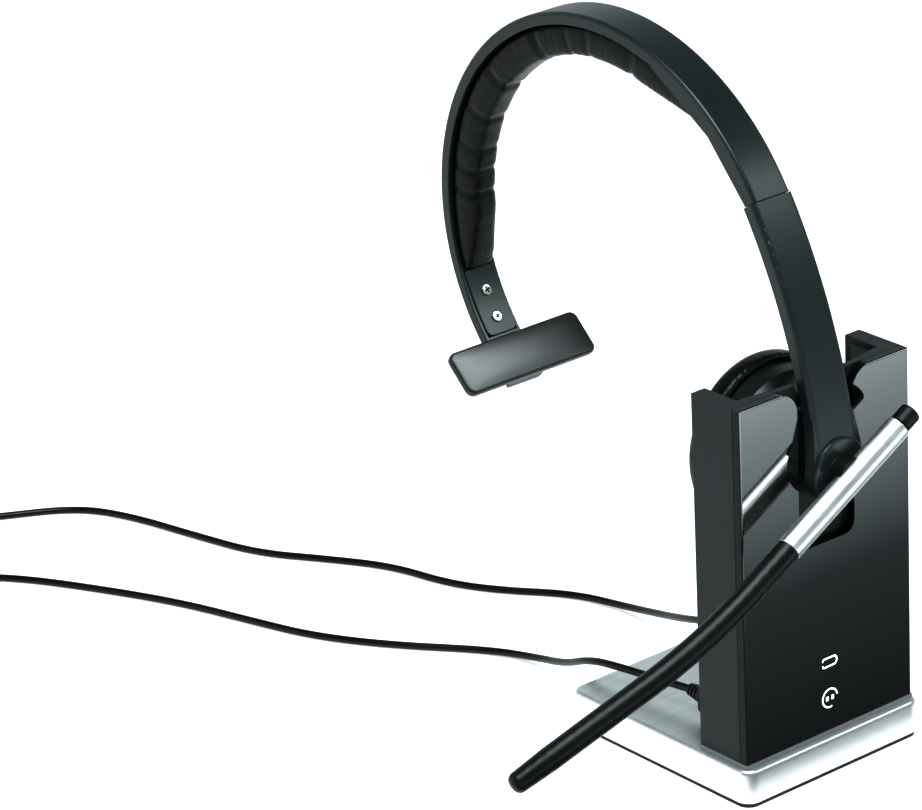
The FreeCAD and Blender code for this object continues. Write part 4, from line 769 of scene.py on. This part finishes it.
def cross_head(radius, height, shaft):
    """A pan head with a cross recess and its shaft, along +Z from the head's underside; the recess is painted
    black as painted shade.
    """
    deselect()
    bpy.ops.mesh.primitive_cylinder_add(vertices=40, radius=radius, depth=height, location=(0, 0, height / 2))
    head = bpy.context.object
    bpy.ops.object.transform_apply(location=True)
    applied(head, "BEVEL", width=height * 0.45, segments=4)
    for turn in CROSS_TURNS:
        bar = block((radius * 1.25, radius * 0.4, height * 1.4), (0, 0, height), math.radians(turn))
        for vertex in bar.data.vertices:
            if vertex.co.z < height:
                vertex.co.x *= CROSS_NARROWING
                vertex.co.y *= CROSS_NARROWING
        cut_away(head, bar)
    # Painted shade: the faces down in the cross recess get black plastic instead of steel, so the recess
    # shows dark.
    head.data.materials.clear()
    for look in (MATERIALS["screw_steel"], MATERIALS["black_plastic"]):
        head.data.materials.append(look)
    for face in head.data.polygons:
        x, y, z = face.center
        if math.hypot(x, y) < radius * 0.72 and 0.02 * height < z < height * 0.97:
            face.material_index = 1
    deselect()
    stem_r, stem_length = shaft
    below = (0, 0, -stem_length / 2)
    bpy.ops.mesh.primitive_cylinder_add(vertices=20, radius=stem_r, depth=stem_length, location=below)
    stem = bpy.context.object
    bpy.ops.object.transform_apply(location=True)
    return joined("screw", [head, stem])


def make_screws(name, places, radius, height, shaft, body, node):
    """One screw modelled, and a copy of it at each place: where the head sits, and the way it faces."""
    first = cross_head(radius, height, shaft)
    copies = []
    for place, way in places:
        copy = first.copy()
        copy.data = first.data.copy()
        bpy.context.scene.collection.objects.link(copy)
        moved(copy, Matrix.Translation(place) @ Vector(way).to_track_quat("Z", "Y").to_matrix().to_4x4())
        copies.append(copy)
    bpy.data.objects.remove(first)
    finish_piece(joined(name, copies), "screw_steel", body, (node,), keep_looks=True)


def make_all_screws():
    """The end plate's two screws and the rear cover's two."""
    plate = [(line_place(h, PLATE_DEPTH + 0.00003), -line_way(h)) for h in PLATE_SCREW_HEADINGS]
    make_screws("end_plate_screws", plate, 0.00175, 0.0007, (0.0009, 0.0039), "headband", "plate_screws")
    rear = [((x, COVER_FACE, COVER_SCREW_Z), (0, 1, 0)) for x in (-COVER_SCREW_X, COVER_SCREW_X)]
    make_screws("back_screws", rear, 0.0019, 0.001, (0.001, 0.003), "stand", "rear_cover_screws")


# T-bar
T_BAR_PLACE = (0, 0.102720, 0.092608)
T_BAR_TURN = -136.4 + 90
T_BAR_SIZE = (0.052, 0.0031, 0.0153)
# Along the bar's own Y: its back face, and the plane past which the face is crowned
T_BAR_BACK = -0.0029
T_BAR_CROWNED = -0.0045
T_BAR_CROWN = 0.0005


def make_t_bar():
    """A rubber bar with a crowned face and round corners."""
    width, thick, high = T_BAR_SIZE
    piece = block(T_BAR_SIZE, (0, T_BAR_BACK - thick / 2, 0))
    piece.name = "t_bar_cover"
    bpy.ops.object.mode_set(mode="EDIT")
    bpy.ops.mesh.select_all(action="DESELECT")
    bpy.ops.mesh.select_mode(type="EDGE")
    bpy.ops.object.mode_set(mode="OBJECT")
    for edge in piece.data.edges:
        a, b = (piece.data.vertices[i].co for i in edge.vertices)
        edge.select = abs(a.x - b.x) < 1e-6 and abs(a.z - b.z) < 1e-6
    bpy.ops.object.mode_set(mode="EDIT")
    bpy.ops.mesh.bevel(offset=0.0026, segments=8, affect="EDGES")
    bpy.ops.mesh.select_all(action="DESELECT")
    bpy.ops.object.mode_set(mode="OBJECT")
    applied(piece, "BEVEL", width=0.0009, segments=5, limit_method="ANGLE", angle_limit=math.radians(50))
    for x in (-0.018, -0.012, -0.006, 0, 0.006, 0.012, 0.018):
        split(piece, (x, 0, 0), (1, 0, 0))
    for z in (-0.0035, 0, 0.0035):
        split(piece, (0, 0, z), (0, 0, 1))
    for vertex in piece.data.vertices:
        across = 1 - (2 * vertex.co.x / width) ** 2
        upright = 1 - (2 * vertex.co.z / high) ** 2
        if vertex.co.y < T_BAR_CROWNED:
            vertex.co.y -= T_BAR_CROWN * across * upright - 0.0001
    moved(piece, Matrix.Translation(T_BAR_PLACE) @ Matrix.Rotation(math.radians(T_BAR_TURN), 4, "X"))
    finish_piece(piece, "bar_rubber", "t_bar", ("t_bar_pad",))


def split(piece, place, way):
    """Add a line of edges where a plane crosses the piece."""
    only(piece)
    bpy.ops.object.mode_set(mode="EDIT")
    bpy.ops.mesh.select_all(action="SELECT")
    bpy.ops.mesh.bisect(plane_co=place, plane_no=way)
    bpy.ops.object.mode_set(mode="OBJECT")


# A dark filler in the gap between the arm and the headband, painted shade that keeps the gap dark: sizes
# across, through and along the band
GAP_SHADE_SIZE = (0.01395, 0.0046, 0.00027)
GAP_SHADE_HOLE = (0.0101, 0.0013, 0.001)
GAP_SHADE_HOLE_OUT = 0.0001
GAP_SHADE_INSET = 0.0024


def make_gap_shade_filler():
    """A thin dark ring round the sliding tongue, set back from the outer faces: painted shade, so the joint
    gap shows dark.
    """
    piece = block(GAP_SHADE_SIZE)
    piece.name = "joint_gap_shade"
    cut_away(piece, block(GAP_SHADE_HOLE, (0, GAP_SHADE_HOLE_OUT, 0)))
    outwards = line_way(JOINT_HEADING)
    along = Vector((0, outwards.z, -outwards.y))
    turn = Matrix((Vector((1, 0, 0)), outwards, along)).transposed().to_4x4()
    moved(piece, Matrix.Translation(line_place(JOINT_HEADING - 0.01, GAP_SHADE_INSET)) @ turn)
    finish_piece(piece, "black_plastic", "headband")


# Lit icons on the front panel
BATTERY_ICON = 0.036
HEADSET_ICON = 0.024
ICON_LINE = 0.0003
# How far a stroke stands out of the panel, as a share of its width
ICON_FLATNESS = 0.12
# The battery sign: half its height, its left end, its cut corner, and the gap's edge
BATTERY_HALF, BATTERY_LEFT, BATTERY_CORNER, BATTERY_GAP = 0.0014, -0.0027, 0.00035, 0.0006
# The headset sign: its ring, and its two ear marks
HEADSET_RING_R, EAR_MARK_X, EAR_MARK_HALF, EAR_MARK_LINE = 0.003, 0.0011, 0.0007, 0.00055


def icon_stroke(points, radius=ICON_LINE):
    """A flat stroke on the panel through (x, z) places."""
    data = bpy.data.curves.new("stroke", "CURVE")
    data.dimensions = "3D"
    data.bevel_depth = radius
    data.bevel_resolution = 3
    data.use_fill_caps = True
    line = data.splines.new("POLY")
    line.points.add(len(points) - 1)
    for point, (x, z) in zip(line.points, points):
        point.co = (x, 0, z, 1)
    piece = placed("stroke", data)
    only(piece)
    bpy.ops.object.convert(target="MESH")
    for vertex in piece.data.vertices:
        vertex.co.y = PANEL_FACE + vertex.co.y * ICON_FLATNESS
    return piece


def arc_points(x, z, radius, first, last, count):
    """Places along an arc, between two angles in degrees."""
    turns = [math.radians(first + (last - first) * k / count) for k in range(count + 1)]
    return [(x + radius * math.cos(t), z + radius * math.sin(t)) for t in turns]


def make_icons():
    """A battery outline and a headset ring, lit from behind."""
    corner = [(BATTERY_LEFT, BATTERY_GAP), (BATTERY_LEFT, BATTERY_HALF - BATTERY_CORNER),
              (BATTERY_LEFT + BATTERY_CORNER, BATTERY_HALF)]
    outline = [(x, BATTERY_ICON + up) for x, up in corner + [(0.0019, BATTERY_HALF)]]
    outline += arc_points(0.0016, BATTERY_ICON, 0.00142, 70, -70, 10)
    outline += [(x, BATTERY_ICON - down) for x, down in corner[::-1]]
    battery = icon_stroke(outline)
    battery.name = "battery_icon"
    finish_piece(battery, "clear", "stand", material=ICON_LIGHT)
    parts = [icon_stroke(arc_points(0, HEADSET_ICON, HEADSET_RING_R, 8, 286, 40))]
    for x in (-EAR_MARK_X, EAR_MARK_X):
        ends = [(x, HEADSET_ICON - EAR_MARK_HALF), (x, HEADSET_ICON + EAR_MARK_HALF)]
        parts.append(icon_stroke(ends, EAR_MARK_LINE))
    finish_piece(joined("headset_icon", parts), "clear", "stand", material=ICON_LIGHT)


make_headband_pad()
make_ear_cushion()
make_seam_bead()
make_all_screws()
make_t_bar()
make_gap_shade_filler()
make_icons()

# ------------------------------------------------------------ floor and light
def make_floor():
    """A pale floor that goes on past every view."""
    bpy.ops.mesh.primitive_plane_add(size=12, location=(0, 0, 0))
    floor = bpy.context.object
    floor.name = "floor"
    recipe = Recipe("pale_floor", (0.93, 0.93, 0.93), 0.75)
    recipe.relief(recipe.noise(40, 2), 0.0001)
    recipe.set(Emission_Color=(1, 1, 1, 1), Emission_Strength=0.5)
    floor.data.materials.append(recipe.material)


CARD_STRENGTH = 3.0
CARD_MIDDLE = (0.15, -0.35, 0.0006)
CARD_SIZE = (0.9, 0.6)
# Along Y, where the card is brightest and where it is nearly dark
CARD_FADE = (-0.34, -0.05)


def make_reflection_card():
    """A card that only mirrors see: dark by the stand and bright farther off, so the gloss panel fades."""
    bpy.ops.mesh.primitive_plane_add(size=1, location=(0, 0, 0))
    card = bpy.context.object
    card.name = "reflection_card"
    card.data.transform(Matrix.Translation(CARD_MIDDLE) @ Matrix.Diagonal((*CARD_SIZE, 1, 1)))
    recipe = Recipe("card_light", (0, 0, 0), 1.0)
    glow = recipe.ramp(recipe.along("Y", *CARD_FADE), [(0.0, (0.88, 1, 1)), (0.35, (0.4, 0.47, 0.48)),
                       (0.7, (0.05, 0.062, 0.065)), (1.0, (0.01, 0.012, 0.013))])
    recipe.drive(glow, "Emission Color")
    recipe.set(Emission_Strength=CARD_STRENGTH)
    card.data.materials.append(recipe.material)
    for rays in ("camera", "diffuse", "shadow", "transmission"):
        setattr(card, "visible_" + rays, False)


def area_light(name, place, aim, size, watts, spread):
    """A rectangular softbox that the camera doesn't see."""
    data = bpy.data.lights.new(name, "AREA")
    data.shape = "RECTANGLE"
    data.size, data.size_y = size
    data.energy = watts
    data.spread = math.radians(spread)
    data.color = LAMP_COLOUR
    lamp = placed(name, data)
    place, aim = Vector(place), Vector(aim)
    lamp.visible_camera = False
    turn = (aim - place).to_track_quat("-Z", "Y").to_matrix().to_4x4()
    lamp.matrix_world = Matrix.Translation(place) @ turn


LAMP_COLOUR = (0.9, 1.0, 1.0)
# Name, place, aim, size, watts, and spread in degrees
LAMPS = (
    ("overhead", (-0.25, -0.3, 1.25), (0, 0.05, 0.1), (0.7, 0.7), 21, 180),
    ("front_right", (0.85, -0.9, 0.92), (0, 0, 0.15), (0.6, 0.3), 4.5, 180),
    ("bar_glow", (0.048, 0.045, 0.215), (-0.03, 0.1, 0.093), (0.04, 0.07), 0.025, 60),
    ("left", (-1.2, 0.5, 0.6), (0, 0.05, 0.1), (0.5, 0.6), 1.6, 180),
)
# The room along Z, and its share of that along Y: each a pair of a place and a colour
ROOM_UPWARDS = ((0.42, (0.8, 0.92, 0.93)), (0.74, (0.05, 0.06, 0.062)))
ROOM_BACKWARDS = ((0.0, (0.22, 0.22, 0.22)), (0.5, (1, 1, 1)))
CONTRAST = 0.78


def make_room():
    """A white room that is bright round the horizon, most of all behind, and dim above."""
    world = bpy.data.worlds.new("studio")
    bpy.context.scene.world = world
    world.use_nodes = True
    nodes, links = world.node_tree.nodes, world.node_tree.links
    split = nodes.new("ShaderNodeSeparateXYZ")
    links.new(nodes.new("ShaderNodeTexCoord").outputs["Generated"], split.inputs["Vector"])
    both = nodes.new("ShaderNodeVectorMath")
    both.operation = "MULTIPLY"
    for i, (axis, stops) in enumerate((("Z", ROOM_UPWARDS), ("Y", ROOM_BACKWARDS))):
        shades = nodes.new("ShaderNodeValToRGB")
        for element, (at, colour) in zip(shades.color_ramp.elements, stops):
            element.position, element.color = at, rgb(colour)
        links.new(split.outputs[axis], shades.inputs["Fac"])
        links.new(shades.outputs["Color"], both.inputs[i])
    links.new(both.outputs["Vector"], nodes["Background"].inputs["Color"])
    nodes["Background"].inputs["Strength"].default_value = 1.0


def make_light():
    """The room, its softboxes, and the contrast of the finished view."""
    make_room()
    for facts in LAMPS:
        area_light(*facts)
    view = bpy.context.scene.view_settings
    view.view_transform = "Standard"
    view.gamma = CONTRAST


make_camera()
make_floor()
make_reflection_card()
make_light()
